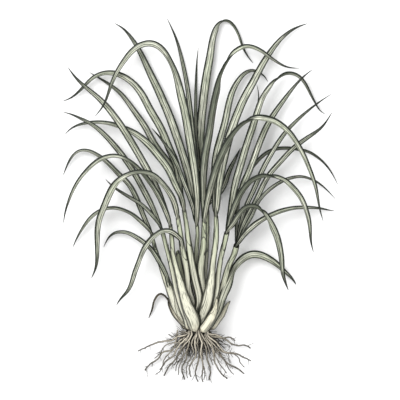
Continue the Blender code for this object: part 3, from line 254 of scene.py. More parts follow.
# Roots of each tuft, from its pad to the tip: x, y in cm and the height of the tip in cm.
ROOTS = {
    "roots_left": [
        (1.4, [(-2.4, -26.6), (-4.2, -27.1), (-5.4, -27.9), (-7.8, -28.3), (-9.2, -28.8),
               (-10.6, -29.4), (-12.3, -30.3)]),
        (0.5, [(-2.3, -26.8), (-3.8, -27.8), (-4.9, -29.2), (-6.1, -30.1), (-7.2, -30.5),
               (-8.4, -31.9), (-9.8, -32.8), (-11, -34.2)]),
        (2.6, [(-2.2, -26.8), (-4.0, -28.9), (-5.5, -31.2), (-6.8, -32), (-7.4, -33),
               (-8.1, -33.8)]),
        (0.6, [(-2.0, -26.9), (-3.2, -28.6), (-4.0, -30.5), (-5.2, -32.2), (-6.6, -34),
               (-7.1, -35.2)]),
        (2.0, [(-1.7, -26.9), (-2.6, -28.2), (-3.6, -29.5), (-4.3, -30.9), (-4.9, -32.6),
               (-5.3, -33.1)]),
    ],
    "roots_middle": [
        (0.4, [(-0.9, -26.9), (-1.5, -28.2), (-2.3, -29.5), (-2.8, -31.9), (-3.5, -33.3),
               (-3.2, -36.1)]),
        (2.3, [(-0.7, -26.9), (-1.1, -28.8), (-0.8, -30.2), (-1.4, -32), (-2.0, -33.6),
               (-1.7, -35.2)]),
        (1.2, [(-0.4, -26.9), (-0.5, -29), (-0.1, -31), (-0.5, -33.2), (-0.9, -34.8),
               (-0.5, -36.3)]),
        (3.0, [(-0.2, -26.9), (0.3, -28.6), (0.1, -30.4), (0.6, -32.7), (0.5, -34.6),
               (0.7, -36.4)]),
        (0.5, [(0.1, -26.9), (0.8, -28.4), (1.2, -29.9), (1.3, -31.8), (2.0, -33.6),
               (1.9, -36.1)]),
    ],
    "roots_right": [
        (1.8, [(1.1, -26.9), (1.8, -28.6), (2.5, -30), (2.9, -32.4), (3.7, -34), (4.6, -35),
               (5.5, -35.6)]),
        (0.5, [(1.3, -26.9), (2.2, -28.3), (3.5, -29.8), (4.3, -31.3), (5.8, -32.9),
               (7.4, -33.7), (8.8, -34.8)]),
        (2.7, [(1.5, -26.8), (2.9, -28.2), (4.2, -29.6), (5.2, -30.4), (7.1, -30.6),
               (8.7, -31.3), (10.1, -32)]),
        (1.0, [(1.7, -26.7), (3.6, -27.4), (5.3, -28.0), (7.0, -29.0), (8.7, -29.1),
               (10.1, -29.8)]),
        (3.2, [(1.6, -26.6), (3.2, -26.9), (4.6, -27.4), (5.8, -27.3), (6.9, -27.9)]),
    ],
}
PAD_X = {"roots_left": -2.1, "roots_middle": -0.35, "roots_right": 1.4}

# Finer roots that only the finished tufts have, listed in the same way.
FINER_ROOTS = {
    "roots_left": [
        (2.2, [(-2.4, -26.5), (-3.3, -26.6), (-4.2, -26.7), (-5.4, -27.1), (-6.3, -26.8)]),
        (3.0, [(-2.2, -26.4), (-3.2, -26.3), (-3.8, -26.2), (-4.4, -26.3)]),
        (1.5, [(-2.0, -27.0), (-2.9, -28.9), (-3.3, -30.1), (-3.5, -31.5), (-4.4, -32.3),
               (-4.9, -34.1)]),
        (1.0, [(-6.0, -30.6), (-6.9, -31.7), (-7.5, -33.2), (-7.8, -34.1), (-8.8, -34.9)]),
        (2.4, [(-2.2, -26.9), (-3.5, -28.3), (-5.6, -28.5), (-7.2, -29.4), (-8.0, -30.7),
               (-9.2, -31.6)]),
        (1.9, [(-1.9, -27.0), (-2.5, -29.2), (-3.2, -31.0), (-4.0, -33.0), (-4.3, -34.9)]),
    ],
    "roots_middle": [
        (2.4, [(-0.7, -26.7), (-1.1, -27.5), (-0.7, -28.8), (-0.2, -30.1), (0, -31.5)]),
        (1.2, [(0.1, -26.8), (0.3, -29.0), (0.5, -31.0), (0.7, -32.9), (0.9, -34.6), (0.7, -35.9)]),
        (1.9, [(-0.9, -26.9), (-1.6, -28.4), (-1.4, -30.3), (-2.2, -32.1), (-2.7, -34.0),
               (-2.4, -35.6)]),
        (2.7, [(0.3, -26.9), (1.0, -28.0), (1.6, -29.5), (2.0, -31.0), (2.7, -32.9)]),
    ],
    "roots_right": [
        (2.0, [(1.5, -27.0), (3.0, -29.0), (4.1, -30.2), (5.3, -30.5), (6.9, -30.7), (7.7, -31.7),
               (7.9, -32.5), (8.8, -33.4)]),
        (1.6, [(1.4, -27.0), (2.9, -29.1), (4.6, -30.2), (5.5, -30.7), (5.7, -31.9), (6.0, -32.6)]),
        (2.3, [(1.2, -27.0), (1.9, -28.1), (2.9, -30.4), (3.3, -31.5), (4.3, -33.2), (5.2, -34.4)]),
        (1.3, [(1.3, -27.0), (2.6, -28.9), (3.4, -30.6), (4.8, -32.0), (6.0, -33.9), (6.8, -34.8)]),
    ],
}


# --- lines ---------------------------------------------------------------------------------------

def run_of(line: np.ndarray) -> np.ndarray:
    """The distance from a line's first place to each of its places, along the line."""
    return np.concatenate([[0], np.cumsum(np.linalg.norm(np.diff(line, axis=0), axis=1))])


def read_at(want: np.ndarray, run: np.ndarray, values: np.ndarray) -> np.ndarray:
    """The rows of values, which stand at the places run, read at the wanted places."""
    return np.stack([np.interp(want, run, column) for column in values.T], axis=1)


def evening(places: np.ndarray, reach: float) -> np.ndarray:
    """A Gaussian average: weights of e to the minus half of (gap / reach) squared, of sum 1."""
    weight = np.exp(-0.5 * ((places[:, None] - places[None, :]) / reach) ** 2)
    return weight / weight.sum(axis=1, keepdims=True)


def in_frame(line: np.ndarray) -> np.ndarray:
    """Places in cm on the bench, carried to metres in the frame."""
    return line * CM + np.array(CLUMP_SHIFT)


def spline_through(points: np.ndarray | list, count: int) -> tuple[np.ndarray, float]:
    """A natural cubic spline through the points, read at places evenly spaced by its plan length.

    The spline's second derivatives solve one linear system, whose rows say that the slope is
    continuous at each inner point and that the two ends are straight.

    Args:
        points: one row per point; the first two columns are x and y, and the rest follow them.
        count: how many places to read.

    Returns:
        The places, one row each, and the length of the line seen from above.
    """
    pts = np.array(points, float)
    t = run_of(pts[:, :2])
    n = len(t)
    h = np.diff(t)
    system, right = np.eye(n), np.zeros_like(pts)
    for i in range(1, n - 1):
        system[i, i - 1:i + 2] = h[i - 1], 2 * (h[i - 1] + h[i]), h[i]
        right[i] = 6 * ((pts[i + 1] - pts[i]) / h[i] - (pts[i] - pts[i - 1]) / h[i - 1])
    bend = np.linalg.solve(system, right)

    def at(u: np.ndarray) -> np.ndarray:
        """The spline at each place u, from the cubic between its two neighbouring points."""
        k = np.clip(np.searchsorted(t, u) - 1, 0, n - 2)
        a, b, w = (t[k + 1] - u)[:, None], (u - t[k])[:, None], h[k][:, None]
        return ((bend[k] * a ** 3 + bend[k + 1] * b ** 3) / (6 * w)
                + (pts[k] / w - bend[k] * w / 6) * a + (pts[k + 1] / w - bend[k + 1] * w / 6) * b)

    fine = at(np.linspace(0, t[-1], 400))
    run = run_of(fine[:, :2])
    return read_at(np.linspace(0, run[-1], count), run, fine), float(run[-1])


def smooth_step(t: np.ndarray | float) -> np.ndarray:
    """The cubic 3t^2 - 2t^3, held at 0 below t = 0 and at 1 above t = 1."""
    t = np.clip(t, 0, 1)
    return t * t * (3 - 2 * t)


def bump(x: np.ndarray, width: float) -> np.ndarray:
    """A bell curve of height 1 about x = 0: e to the minus (x / width) squared."""
    return np.exp(-(x / width) ** 2)


def blade_width(t: np.ndarray, width: float, foot: float) -> np.ndarray:
    """Width along a leaf: narrow at the foot, full by a third, then a long taper to a point.

    Args:
        t: places along the leaf, 0 at the foot and 1 at the tip.
        width: full width.
        foot: width of the foot as a share of the full width.

    Returns:
        The width at each place, in the unit of width.
    """
    grow = foot + (1 - foot) * smooth_step(t / 0.3)
    taper = 1 - 0.93 * np.clip((t - 0.5) / 0.5, 0, 1) ** 1.8
    return width * grow * taper


def eased(knots: Knots, t: np.ndarray) -> np.ndarray:
    """Values at places along a leaf, eased from one knot to the next by the smooth step."""
    places, values = np.array(knots, float).T
    k = np.clip(np.searchsorted(places, t) - 1, 0, len(places) - 2)
    share = (t - places[k]) / (places[k + 1] - places[k])
    return values[k] + (values[k + 1] - values[k]) * smooth_step(share)


def frames(line: np.ndarray) -> tuple[np.ndarray, np.ndarray, np.ndarray]:
    """Direction, level side vector and raised normal at each place on a line.

    The side is the direction crossed with straight up, so it stays level, and the normal is the
    side crossed with the direction.

    Args:
        line: places in space, one row each.

    Returns:
        Unit vectors along, to the right and up, each with one row per place.
    """
    along = np.gradient(line, axis=0)
    along /= np.linalg.norm(along, axis=1, keepdims=True)
    side = np.cross(along, [0.0, 0.0, 1.0])
    side /= np.linalg.norm(side, axis=1, keepdims=True)
    return along, side, np.cross(side, along)


def sway(t: np.ndarray, rng: np.random.Generator, waves: int, size: float) -> np.ndarray:
    """A gentle wander: a sum of sines of rising pitch and falling height, with seeded phases."""
    total = np.zeros_like(t)
    for k in range(1, waves + 1):
        total += np.sin(2 * np.pi * k * t + rng.uniform(0, 2 * np.pi)) / k
    return size * total


def off_the_bench(grid: np.ndarray) -> np.ndarray:
    """The rings, each lifted so far that its lowest point is not below the bench."""
    grid[..., 2] += np.maximum(0.0, -grid[..., 2].min(axis=1))[:, None]
    return grid


# --- meshes --------------------------------------------------------------------------------------

@dataclass
class Patch:
    """A closed tube of points: rows run along it, columns run round it, and its ends are capped.

    guide holds (across, along, face) and fibre holds the same place on the piece laid out straight,
    with its length shrunk, so that a pattern read from it is drawn out along the piece.
    """

    grid: np.ndarray
    guide: np.ndarray
    fibre: np.ndarray


def skin(name: str, patches: list[Patch], material: bpy.types.Material) -> bpy.types.Object:
    """Puts the patches into one smooth-shaded mesh whose object sits at the origin.

    Each ring turns right about the direction of its tube, so that every face looks outwards.

    Args:
        name: the object's name.
        patches: the tubes to gather.
        material: the finish of all of it.

    Returns:
        The new object, linked into the scene.
    """
    loops, sizes, count = [], [], 0
    for patch in patches:
        rows, cols = patch.grid.shape[:2]
        index = count + np.arange(rows * cols).reshape(rows, cols)
        turn = np.roll(index, -1, axis=1)
        quads = np.stack([index[:-1], turn[:-1], turn[1:], index[1:]], axis=-1)
        loops += [quads.ravel(), index[0][::-1], index[-1]]
        sizes += [np.full(quads.size // 4, 4), [cols], [cols]]
        count += rows * cols
    corners, totals = np.concatenate(loops), np.concatenate(sizes)
    mesh = bpy.data.meshes.new(name)
    mesh.vertices.add(count)
    points = np.concatenate([patch.grid.reshape(-1, 3) for patch in patches])
    mesh.vertices.foreach_set("co", points.astype(np.float32).ravel())
    mesh.loops.add(len(corners))
    mesh.loops.foreach_set("vertex_index", corners.astype(np.int32))
    mesh.polygons.add(len(totals))
    mesh.polygons.foreach_set("loop_start", (np.cumsum(totals) - totals).astype(np.int32))
    mesh.update(calc_edges=True)
    for kept in ("guide", "fibre"):
        values = np.concatenate([getattr(patch, kept).reshape(-1, 3) for patch in patches])
        layer = mesh.attributes.new(kept, "FLOAT_VECTOR", "POINT")
        layer.data.foreach_set("vector", values.astype(np.float32).ravel())
    mesh.materials.append(material)
    mesh.shade_smooth()
    piece = bpy.data.objects.new(name, mesh)
    bpy.context.scene.collection.objects.link(piece)
    return piece


def fit(piece: bpy.types.Object, node: str) -> bpy.types.Object:
    """Ties a finished piece to the root body and hides the CAD node it stands for."""
    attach(piece, "root")
    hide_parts(node)
    LOG.info("%s: %d faces", piece.name, len(piece.data.polygons))
    return piece


# --- blades --------------------------------------------------------------------------------------

@dataclass
class Blade:
    """A strap of leaf tissue along a line, folded or rolled across, with veins and a midrib.

    Across the strap, u runs from -1 at the left margin to 1 at the right one. The section is an arc
    of half angle w, so a point stands at R sin(w u) to the side and R (1 - cos(w u)) up, where
    R = half width / w. A V fold, the sway of the margins, the vein ridges and a keel are added to
    its height, and both faces stand half a thickness off it, meeting in a sharp margin.
    """

    line: np.ndarray
    width: np.ndarray
    roll: np.ndarray
    wrap: np.ndarray
    rng: np.random.Generator
    across_top: int = 33
    across_under: int = 17
    thickness: float = 0.36 * MM
    least_wrap: float = 0.02
    vein_pitch: float = 1.5 * MM
    vein_height: float = 0.07 * MM
    keel: float = 0.55 * MM
    keel_width: float = 0.55 * MM
    keel_top: float = 0.35
    full_half: float = 4 * MM
    fold: float = 0.15
    fold_round: float = 0.003
    flutter: float = 0.035
    shrink: float = 0.05
    under_tone: float = 0.0
    edge_on_shade: float = 2.2
    recovery: float = 0.05

    def patch(self) -> Patch:
        """The strap as one closed ring of points for each place on its line.

        Returns:
            The patch, whose guide is (u, share of the length, face and shade). The last is 1 on top and
            lower underneath, where the darker under face is partly the tissue's own duller colour and
            partly painted shade; it sinks further, as painted shade, by the squared sine of the roll up to
            where the strap stands most on edge, past which it soon recovers.
        """
        rows = len(self.line)
        t = np.linspace(0, 1, rows)[:, None]
        top = np.linspace(-1, 1, self.across_top)
        under = np.linspace(1, -1, self.across_under + 2)[1:-1]
        u = np.concatenate([top, under])[None, :]
        face = np.concatenate([np.where(np.abs(top) < 1, 1.0, 0.0), -np.ones(len(under))])[None, :]
        half = self.width[:, None] / 2
        wrap = np.where(np.abs(self.wrap) < self.least_wrap, self.least_wrap, self.wrap)[:, None]
        bend = half / wrap
        side = bend * np.sin(wrap * u)
        rise = bend * (1 - np.cos(wrap * u))
        open_share = np.cos(np.minimum(np.abs(wrap), np.pi / 2))
        rise += self.fold * 2 * half * np.sqrt(u ** 2 + self.fold_round) * open_share
        waves = [sway(t[:, 0], self.rng, 9, self.flutter)[:, None] for _ in range(2)]
        rise += 2 * half * np.abs(u) ** 3 * np.where(u < 0, waves[0], waves[1]) * smooth_step(t / 0.2)
        flat = half * u
        body = np.minimum(1, half / self.full_half)
        rise += self.vein_height * body * np.cos(2 * np.pi * flat / self.vein_pitch) * (1 - u ** 4)
        rise -= self.keel * body * bump(flat, self.keel_width) * np.where(face < 0, 1.0, self.keel_top)
        rise += face * self.thickness / 2 * np.sqrt(np.clip(1.02 - u ** 2, 0, 1))
        _, level, up = frames(self.line)
        cos, sin = np.cos(self.roll)[:, None], np.sin(self.roll)[:, None]
        right, normal = cos * level - sin * up, cos * up + sin * level
        grid = (self.line[:, None, :] + side[..., None] * right[:, None, :]
                + rise[..., None] * normal[:, None, :])
        length = np.linalg.norm(np.diff(self.line, axis=0), axis=1).sum()
        # Painted shade: the strap darkens as it turns on edge, most where it stands most on edge, and
        # lightens soon past that place.
        on_edge = np.sin(self.roll)[:, None] ** 2
        past = np.maximum(t - t[on_edge.argmax()], 0)
        margin = self.edge_on_shade * on_edge * bump(past, self.recovery)
        face_and_shade = np.where(face < 0, self.under_tone, face) - margin
        guide = np.stack(np.broadcast_arrays(u, t, np.maximum(face_and_shade, -1)), axis=-1)
        fibre = np.stack(np.broadcast_arrays(flat, face * MM, t * length * self.shrink), axis=-1)
        return Patch(off_the_bench(grid), guide, fibre)


@dataclass
class Laid:
    """What lies on the bench so far: spots with a half width and the height of their top, in cm."""

    spots: list[tuple[str, np.ndarray, np.ndarray, np.ndarray]] = field(default_factory=list)
    margin: float = 0.12

    def add(self, owner: str, xy: np.ndarray, half: np.ndarray, top: np.ndarray) -> None:
        """Notes where a piece lies, how far it reaches to the side and how high it stands."""
        self.spots.append((owner, xy, half, top))

    def clearance(self, xy: np.ndarray, half: np.ndarray, skip: str) -> np.ndarray:
        """Lowest height that clears everything under each place of a new piece.

        Args:
            xy: places of the new piece.
            half: how far it reaches to the side at each place.
            skip: owner of the spots that it may touch.

        Returns:
            The height at each place, 0 where nothing lies under it.
        """
        need = np.zeros(len(xy))
        for owner, other, wide, top in self.spots:
            if owner == skip:
                continue
            near = np.hypot(*(xy[:, None, :] - other[None, :, :]).transpose(2, 0, 1))
            hit = near < half[:, None] + wide[None, :] + self.margin
            need = np.maximum(need, np.where(hit, top[None, :], 0).max(axis=1))
        return need


@dataclass
class Leaf:
    """One strap leaf, laid over the ones under it as its solid is."""

    name: str
    stalk: str
    foot_z: float
    tip_z: float
    arch: float
    width: float
    roll: Knots
    route: list[tuple[float, float]]
    foot: float = 0.3
    row_length: float = 2.2 * MM
    point: float = 0.945
    point_start: float = 0.45
    point_power: float = 2.3
    lead: float = 1.6
    clasp: float = 3.2
    pale: float = 0.18
    lift: float = 0.0
    softening: float = 0.35
    mouth_width: float = 0.6
    channel: float = 0.24
    mouth_wrap: float = 1.8
    sheath_wrap: float = 1.3
    trough: float = 0.7
    shrivel: float = 0.45
    line: np.ndarray | None = None
    angle: np.ndarray | None = None

    def lay(self, laid: Laid) -> None:
        """Finds the leaf's line: its wished height, lifted by a springy bend over what is under it.

        Over each obstacle the line may fall away no faster than a parabola of the drape radius, and
        a Gaussian average then evens the height out.

        Args:
            laid: what lies on the bench, to which the leaf is added.
        """
        xy, length = spline_through(self.route, 121)
        t = np.linspace(0, 1, len(xy))
        wide = blade_width(t, self.width, self.foot)
        angle = np.radians(eased(self.roll, t))
        fold = LEAF_FOLD * wide / 10
        half = np.abs(np.cos(angle)) * wide / 20 + 0.05
        up = np.abs(np.sin(angle)) * wide / 20 + fold + 0.5 * LEAF_THICKNESS / CM
        wish = self.foot_z + (self.tip_z - self.foot_z) * t ** 0.8 + self.arch * np.sin(np.pi * t ** 0.9)
        need = np.maximum(laid.clearance(xy, half, self.stalk) + up + LAYER_GAP / CM, up)
        s = t * length
        gap = s[:, None] - s[None, :]
        over = (need[None, :] - gap ** 2 / (2 * DRAPE_RADIUS / CM)).max(axis=1)
        z = np.maximum(evening(s, SMOOTHING) @ np.maximum(wish, over) + 0.03, need)
        laid.add(self.name, xy, half, z + up)
        self.line, self.angle = np.column_stack([xy, z]), angle

    def down_the_throat(self, stalk: np.ndarray) -> tuple[np.ndarray, np.ndarray]:
        """The leaf's line and roll with a lead that comes up inside its stalk.

        Args:
            stalk: the stalk's line from its mouth down, in cm, with its radius in mm.

        Returns:
            The line in cm and the roll.
        """
        depths = self.lead * np.array([1.0, 0.6, 0.3])
        lead = read_at(depths, run_of(stalk[:, :3]), stalk[:, :3])
        return (np.concatenate([lead, self.line[3:]]),
                np.concatenate([np.full(3, self.angle[0]), self.angle[3:]]))

    def along_the_side(self, stalk: np.ndarray) -> tuple[np.ndarray, np.ndarray]:
        """The leaf's line and roll with a lead that clasps the front of its stalk.

        Args:
            stalk: the stalk's line from its mouth down, in cm, with its radius in mm.

        Returns:
            The line in cm and the roll.
        """
        away = np.linalg.norm(stalk[:, :2] - self.line[0, :2], axis=1)
        nearest = int(away.argmin())
        run = run_of(stalk[:, :3])
        depths = run[nearest] + self.clasp * np.array([1.0, 0.8, 0.6, 0.4, 0.2])
        lead = read_at(depths, run, stalk)
        lead[:, 2] += lead[:, 3] / 10 * np.array([0.9, 1.0, 1.05, 1.05, 1.05])
        return (np.concatenate([lead[:, :3], self.line[5:]]),
                np.concatenate([np.full(5, self.angle[0]), self.angle[5:]]))

    def blade(self, rng: np.random.Generator, stalks: dict[str, np.ndarray]) -> Blade:
        """The leaf's strap, led down into its stalk or along the side of it.

        The width grows from the foot's share to the whole over the first 0.3 of the length, and past
        point_start it falls by point times the rest of the way raised to point_power. The half angle
        of the section is the channel's, plus a curl that dies away past the mouth or along the
        sheath, plus a trough as deep as the squared sine of the roll.

        Args:
            rng: source of the small differences between leaves.
            stalks: the stalks' lines and radii.

        Returns:
            The strap, with its line in metres.
        """
        line, angle = self.line, self.angle
        opens = 1.0
        if self.stalk in stalks:
            line, angle = self.down_the_throat(stalks[self.stalk])
        elif self.stalk:
            line, angle = self.along_the_side(stalks[self.stalk.removeprefix("side of ")])
            opens = -1.0
        run = run_of(line)
        rows = int(run[-1] * CM / self.row_length)
        want, t = np.linspace(0, run[-1], rows), np.linspace(0, 1, rows)
        line = evening(want, self.softening) @ read_at(want, run, line)
        line[:, 2] += self.lift * (1 - smooth_step((t - 0.2) / 0.3))
        foot = self.mouth_width if self.stalk else self.foot
        width = self.width * MM * (foot + (1 - foot) * smooth_step(t / 0.3))
        past = np.clip((t - self.point_start) / (1 - self.point_start), 0, 1)
        width *= 1 - self.point * past ** self.point_power
        if self.name in WITHERED:
            width *= 1 - self.shrivel * smooth_step((t - 0.25) / 0.3)
        width *= 1 + sway(t, rng, 5, 0.012)
        roll = np.interp(want, run, angle) + np.radians(sway(t, rng, 4, 2.0))
        wrap = self.channel + sway(t, rng, 3, 0.03)
        if self.name in SHEATHED:
            wrap -= self.sheath_wrap * (1 - smooth_step((t - 0.2) / 0.3))
        else:
            wrap += self.mouth_wrap * opens * (1 - smooth_step((want - 0.4) / 2.6))
        wrap += self.trough * np.sin(roll) ** 2
        return Blade(in_frame(line), width, roll, wrap, rng)

    def dress(self, seed: int, stalks: dict[str, np.ndarray], finish: "LeafFinish") -> bpy.types.Object:
        """Builds the leaf, ties it to the root body and hides its node.

        Args:
            seed: number that sets this leaf's small differences.
            stalks: the stalks' lines and radii.
            finish: the leaf finish.

        Returns:
            The finished piece.
        """
        rng = np.random.default_rng(seed)
        patch = self.blade(rng, stalks).patch()
        piece = skin(self.name + "_blade", [patch], finish.material(rng, self.pale))
        return fit(piece, self.name)


# --- stalks --------------------------------------------------------------------------------------

@dataclass
class Sheath:
    """One rolled leaf base round a stalk: how high it reaches and how its edges run."""

    top: float
    slant: float
    turn: float
    thickness: float


@dataclass
class Stalk:
    """A stalk of sheaths rolled over each other, open at the mouth and ringed at the foot."""

    name: str
    points: list[tuple[float, float, float, float]]
    sheaths: int = 2
    row_length: float = 1.5 * MM
    columns: int = 80
    ribs: int = 26
    rib_height: float = 0.10 * MM
    edge: float = 1.4 * MM
    overlap: float = 0.5 * MM
    collars: tuple[float, float] = (0.72, 0.95)
    slant: tuple[float, float] = (16 * MM, 30 * MM)
    contact_shade_reach: float = 4.5 * MM
    flank: float = 2.6 * MM
    foot_swell: float = 2.6 * MM
    foot_length: float = 22 * MM
    foot_drop: float = 0.4
    mouth_swell: float = 0.6 * MM
    scrap_count: int = 1
    mouth_slant: float = 9 * MM
    mouth_depth: float = 6 * MM
    throat_width: float = 0.84
    throat_taper: float = 0.3
    throat_shade: float = 0.3
    flank_shade: float = 0.95
    round_shade: float = 0.4
    collar_shade: float = 0.8
    margin_shade: float = 0.6
    unevenness: float = 0.02

    def centre(self) -> np.ndarray:
        """The stalk's line and radius from mouth to foot, in cm and mm, as its solid has them."""
        return spline_through(self.points, 81)[0]

    def layers(self, rng: np.random.Generator) -> list[Sheath]:
        """The sheaths from the outermost, which is the shortest, to the innermost."""
        tops = np.linspace(*self.collars, self.sheaths) + rng.uniform(-0.07, 0.05, self.sheaths)
        return [Sheath(top, rng.uniform(*self.slant), rng.uniform(0, 2 * np.pi),
                       rng.uniform(0.4, 0.6) * MM) for top in tops]

    def rows(self) -> tuple[np.ndarray, np.ndarray, np.ndarray, float]:
        """The line that the rings stand on: up from the foot to the mouth, then down the throat.

        Returns:
            The line with its radius and its three unit vectors, the share of the length at each
            ring, how deep in the throat each ring is from 0 to 1, and the length in metres.
        """
        line = self.centre()[::-1]
        length = np.linalg.norm(np.diff(line[:, :3] * CM, axis=0), axis=1).sum()
        reach = np.linspace(0, length / CM, len(line))
        line[:, 1] -= self.foot_drop * (1 - smooth_step(reach / 2.5))
        outside = np.linspace(0, 1, int(length / self.row_length))
        throat = np.linspace(0, 1, 7)[1:]
        place = np.concatenate([outside, 1 - throat * self.mouth_depth / length])
        depth = np.concatenate([np.zeros(len(outside)), throat])
        at = place * (len(line) - 1)
        turned = np.concatenate([line, *frames(line[:, :3])], axis=1)
        return read_at(at, np.arange(len(line)), turned), place, depth, float(length)

    def contact_shade(self, grid: np.ndarray, others: list[np.ndarray]) -> np.ndarray:
        """Painted shade on each point from the stalks pressed against it, as in the crevice between them: 1
        at contact, 0 beyond reach.

        The gap is the least distance to another stalk's line, less that stalk's radius there.

        Args:
            grid: points in metres.
            others: the other stalks' lines and radii, in cm and mm.

        Returns:
            The shade of each point.
        """
        gap = np.full(grid.shape[:2], 1.0)
        for other in others:
            away = np.linalg.norm(grid[:, :, None, :] - in_frame(other[::2, :3]), axis=3)
            away -= other[::2, 3] * MM
            gap = np.minimum(gap, away.min(axis=2))
        return 1 - smooth_step(gap / self.contact_shade_reach)

    def patch(self, rng: np.random.Generator, others: list[np.ndarray]) -> Patch:
        """The outside of the stalk, its slanted mouth and the throat inside it.

        With s the distance from the foot and a the angle round, the radius is the line's own, less
        half of the sheaths' thickness, plus a swell at the foot and a slight one at the mouth, plus
        each sheath's thickness below its slanted collar, plus a saw tooth that falls at each
        sheath's free margin, plus the ribs. The shade grows towards the flanks, at collars and
        margins, where another stalk presses and down the throat.

        Args:
            rng: source of the stalk's own collars, margins and ribs.
            others: the other stalks' lines and radii.

        Returns:
            The patch, whose guide is (rib height from 0 to 1, share of the length, shade).
        """
        line, place, depth, length = self.rows()
        inside = depth[:, None]
        share = place[:, None]
        s = share * length
        around = np.linspace(0, 2 * np.pi, self.columns, endpoint=False)[None, :]
        sheaths = self.layers(rng)
        radius = line[:, 3:4] * MM - 0.5 * sum(sheath.thickness for sheath in sheaths)
        radius = radius + self.foot_swell * (1 - smooth_step(s / self.foot_length))
        inward = radius * (1 - np.abs(np.cos(around)))
        radius = radius + self.mouth_swell * smooth_step((share - 0.7) / 0.3)
        flank = self.flank * (1 - 0.35 * share) + 0.1 * radius
        shade = self.flank_shade * (1 - smooth_step(inward / flank))
        shade = shade + self.round_shade * (1 - smooth_step(inward / (0.8 * radius)))
        for sheath in sheaths:
            collar = sheath.top * length + sheath.slant * np.cos(around - sheath.turn)
            radius = radius + sheath.thickness * smooth_step((collar - s) / self.edge)
            shade = shade + self.collar_shade * bump(s - collar - 0.5 * MM, self.edge)
        drift = sway(place, rng, 4, 0.35)[:, None]
        start = rng.uniform(-0.85, -0.15) * np.pi
        for k, low in enumerate((0.0, 0.4)):
            margin = start + 2.6 * k + 0.9 * share + drift
            tooth = np.mod((around - margin) / (2 * np.pi), 1)
            grown = smooth_step((share - low) / 0.05 + 0.2)
            radius = radius + self.overlap * grown * (tooth - 0.5) * smooth_step((1 - tooth) / 0.02)
            shade = shade + self.margin_shade * bump(tooth - 0.985, 0.012) * grown
        ribs = 0.5 + 0.5 * np.cos(self.ribs * around + 2 * drift)
        radius = radius + self.rib_height * (ribs - 0.5)
        radius = radius * (1 + sway(place, rng, 8, self.unevenness)[:, None])
        radius = np.where(inside > 0, radius * (self.throat_width - self.throat_taper * inside), radius)
        radius = radius * np.sqrt(0.2 + 0.8 * smooth_step(s / (5 * MM)))
        along, level, up = line[:, 4:7], line[:, 7:10], line[:, 10:13]
        lean = rng.uniform(0.25, 0.75) * np.pi
        ramp = smooth_step(1 - (length - s) / (1.6 * self.mouth_slant))
        reach = self.mouth_slant * (np.cos(around - lean) - 1) * 0.5 * ramp
        grid = (in_frame(line[:, :3])[:, None, :] + (radius * np.cos(around))[..., None] * level[:, None, :]
                - (radius * np.sin(around))[..., None] * up[:, None, :]
                + reach[..., None] * along[:, None, :])
        # Painted shade against other stalks and down the throat is added to that at the flanks, collars and
        # margins.
        shade = np.clip(shade + self.contact_shade(grid, others) + self.throat_shade * inside, 0, 1.4)
        guide = np.stack(np.broadcast_arrays(ribs, share, shade), axis=-1)
        fibre = np.stack(np.broadcast_arrays(radius * np.cos(around), radius * np.sin(around),
                                             s * 0.018 + start), axis=-1)
        return Patch(off_the_bench(grid), guide, fibre)

    def scraps(self, rng: np.random.Generator, count: int) -> list[Patch]:
        """Torn ends of old sheaths: short pointed straps that start on the stalk and peel off it.

        Args:
            rng: source of their places and sizes.
            count: how many.

        Returns:
            One patch for each.
        """
        line = self.centre()[::-1]
        along, level, up = frames(line[:, :3])
        made = []
        for _ in range(count):
            k = int(rng.uniform(0.35, 0.93) * (len(line) - 1))
            turn = rng.uniform(0.15, 0.85) * np.pi
            out = np.cos(turn) * level[k] + np.sin(turn) * up[k]
            reach = rng.uniform(9, 20) * MM
            t = np.linspace(0, 1, 14)[:, None]
            foot = in_frame(line[k, :3]) + out * (line[k, 3] * MM - 0.3 * MM)
            path = foot + t * reach * along[k] + out * reach * 0.22 * t ** 2
            width = rng.uniform(3.0, 5.0) * MM * (1 - 0.95 * t[:, 0] ** 1.4)
            roll = np.full(14, np.pi / 2 - turn)
            strap = Blade(path, width, roll, np.full(14, 0.7), rng, across_top=9, across_under=5,
                          fold=0.0, keel=0.0)
            patch = strap.patch()
            patch.grid = path[:, None, :] * 2 - patch.grid
            patch.guide = np.broadcast_to(np.array([0.4, 0.8, 1.0]), patch.grid.shape).copy()
            made.append(patch)
        return made

    def dress(self, seed: int, others: list[np.ndarray], finish: "StalkFinish") -> bpy.types.Object:
        """Builds the stalk with its scraps, ties it to the root body and hides its node."""
        rng = np.random.default_rng(seed)
        patches = [self.patch(rng, others)] + self.scraps(rng, self.scrap_count)
        return fit(skin(self.name + "_sheaths", patches, finish.material(rng)), self.name)


@dataclass
class Husk(Stalk):
    """An old outer sheath standing off the clump, drawn out to a torn point."""

    sheaths: int = 1
    ribs: int = 20
    collars: tuple[float, float] = (1.6, 1.7)
    contact_shade_reach: float = 2.6 * MM
    flank: float = 1.3 * MM
    scrap_count: int = 0
    mouth_swell: float = 0.0
    mouth_slant: float = 4 * MM
    mouth_depth: float = 2 * MM


# --- crown and roots -----------------------------------------------------------------------------

def lumps(rise: np.ndarray, around: np.ndarray, rng: np.random.Generator, count: int,
          belt: tuple[float, float], width: float) -> np.ndarray:
    """Knobs scattered on a ball: a sum of bell curves of the distance to random places on it.

    Args:
        rise: angle from one pole, as a column.
        around: angle round the ball, as a row.
        rng: source of the places.
        count: how many knobs.
        belt: least and greatest rise of a knob.
        width: width of each bell curve.

    Returns:
        The height of the knobs over the grid.
    """
    height = np.zeros((rise.size, around.size))
    for _ in range(count):
        far = (rise - rng.uniform(*belt)) ** 2 + 2 * (1 - np.cos(around - rng.uniform(0, 2 * np.pi)))
        height += bump(np.sqrt(far), width)
    return height


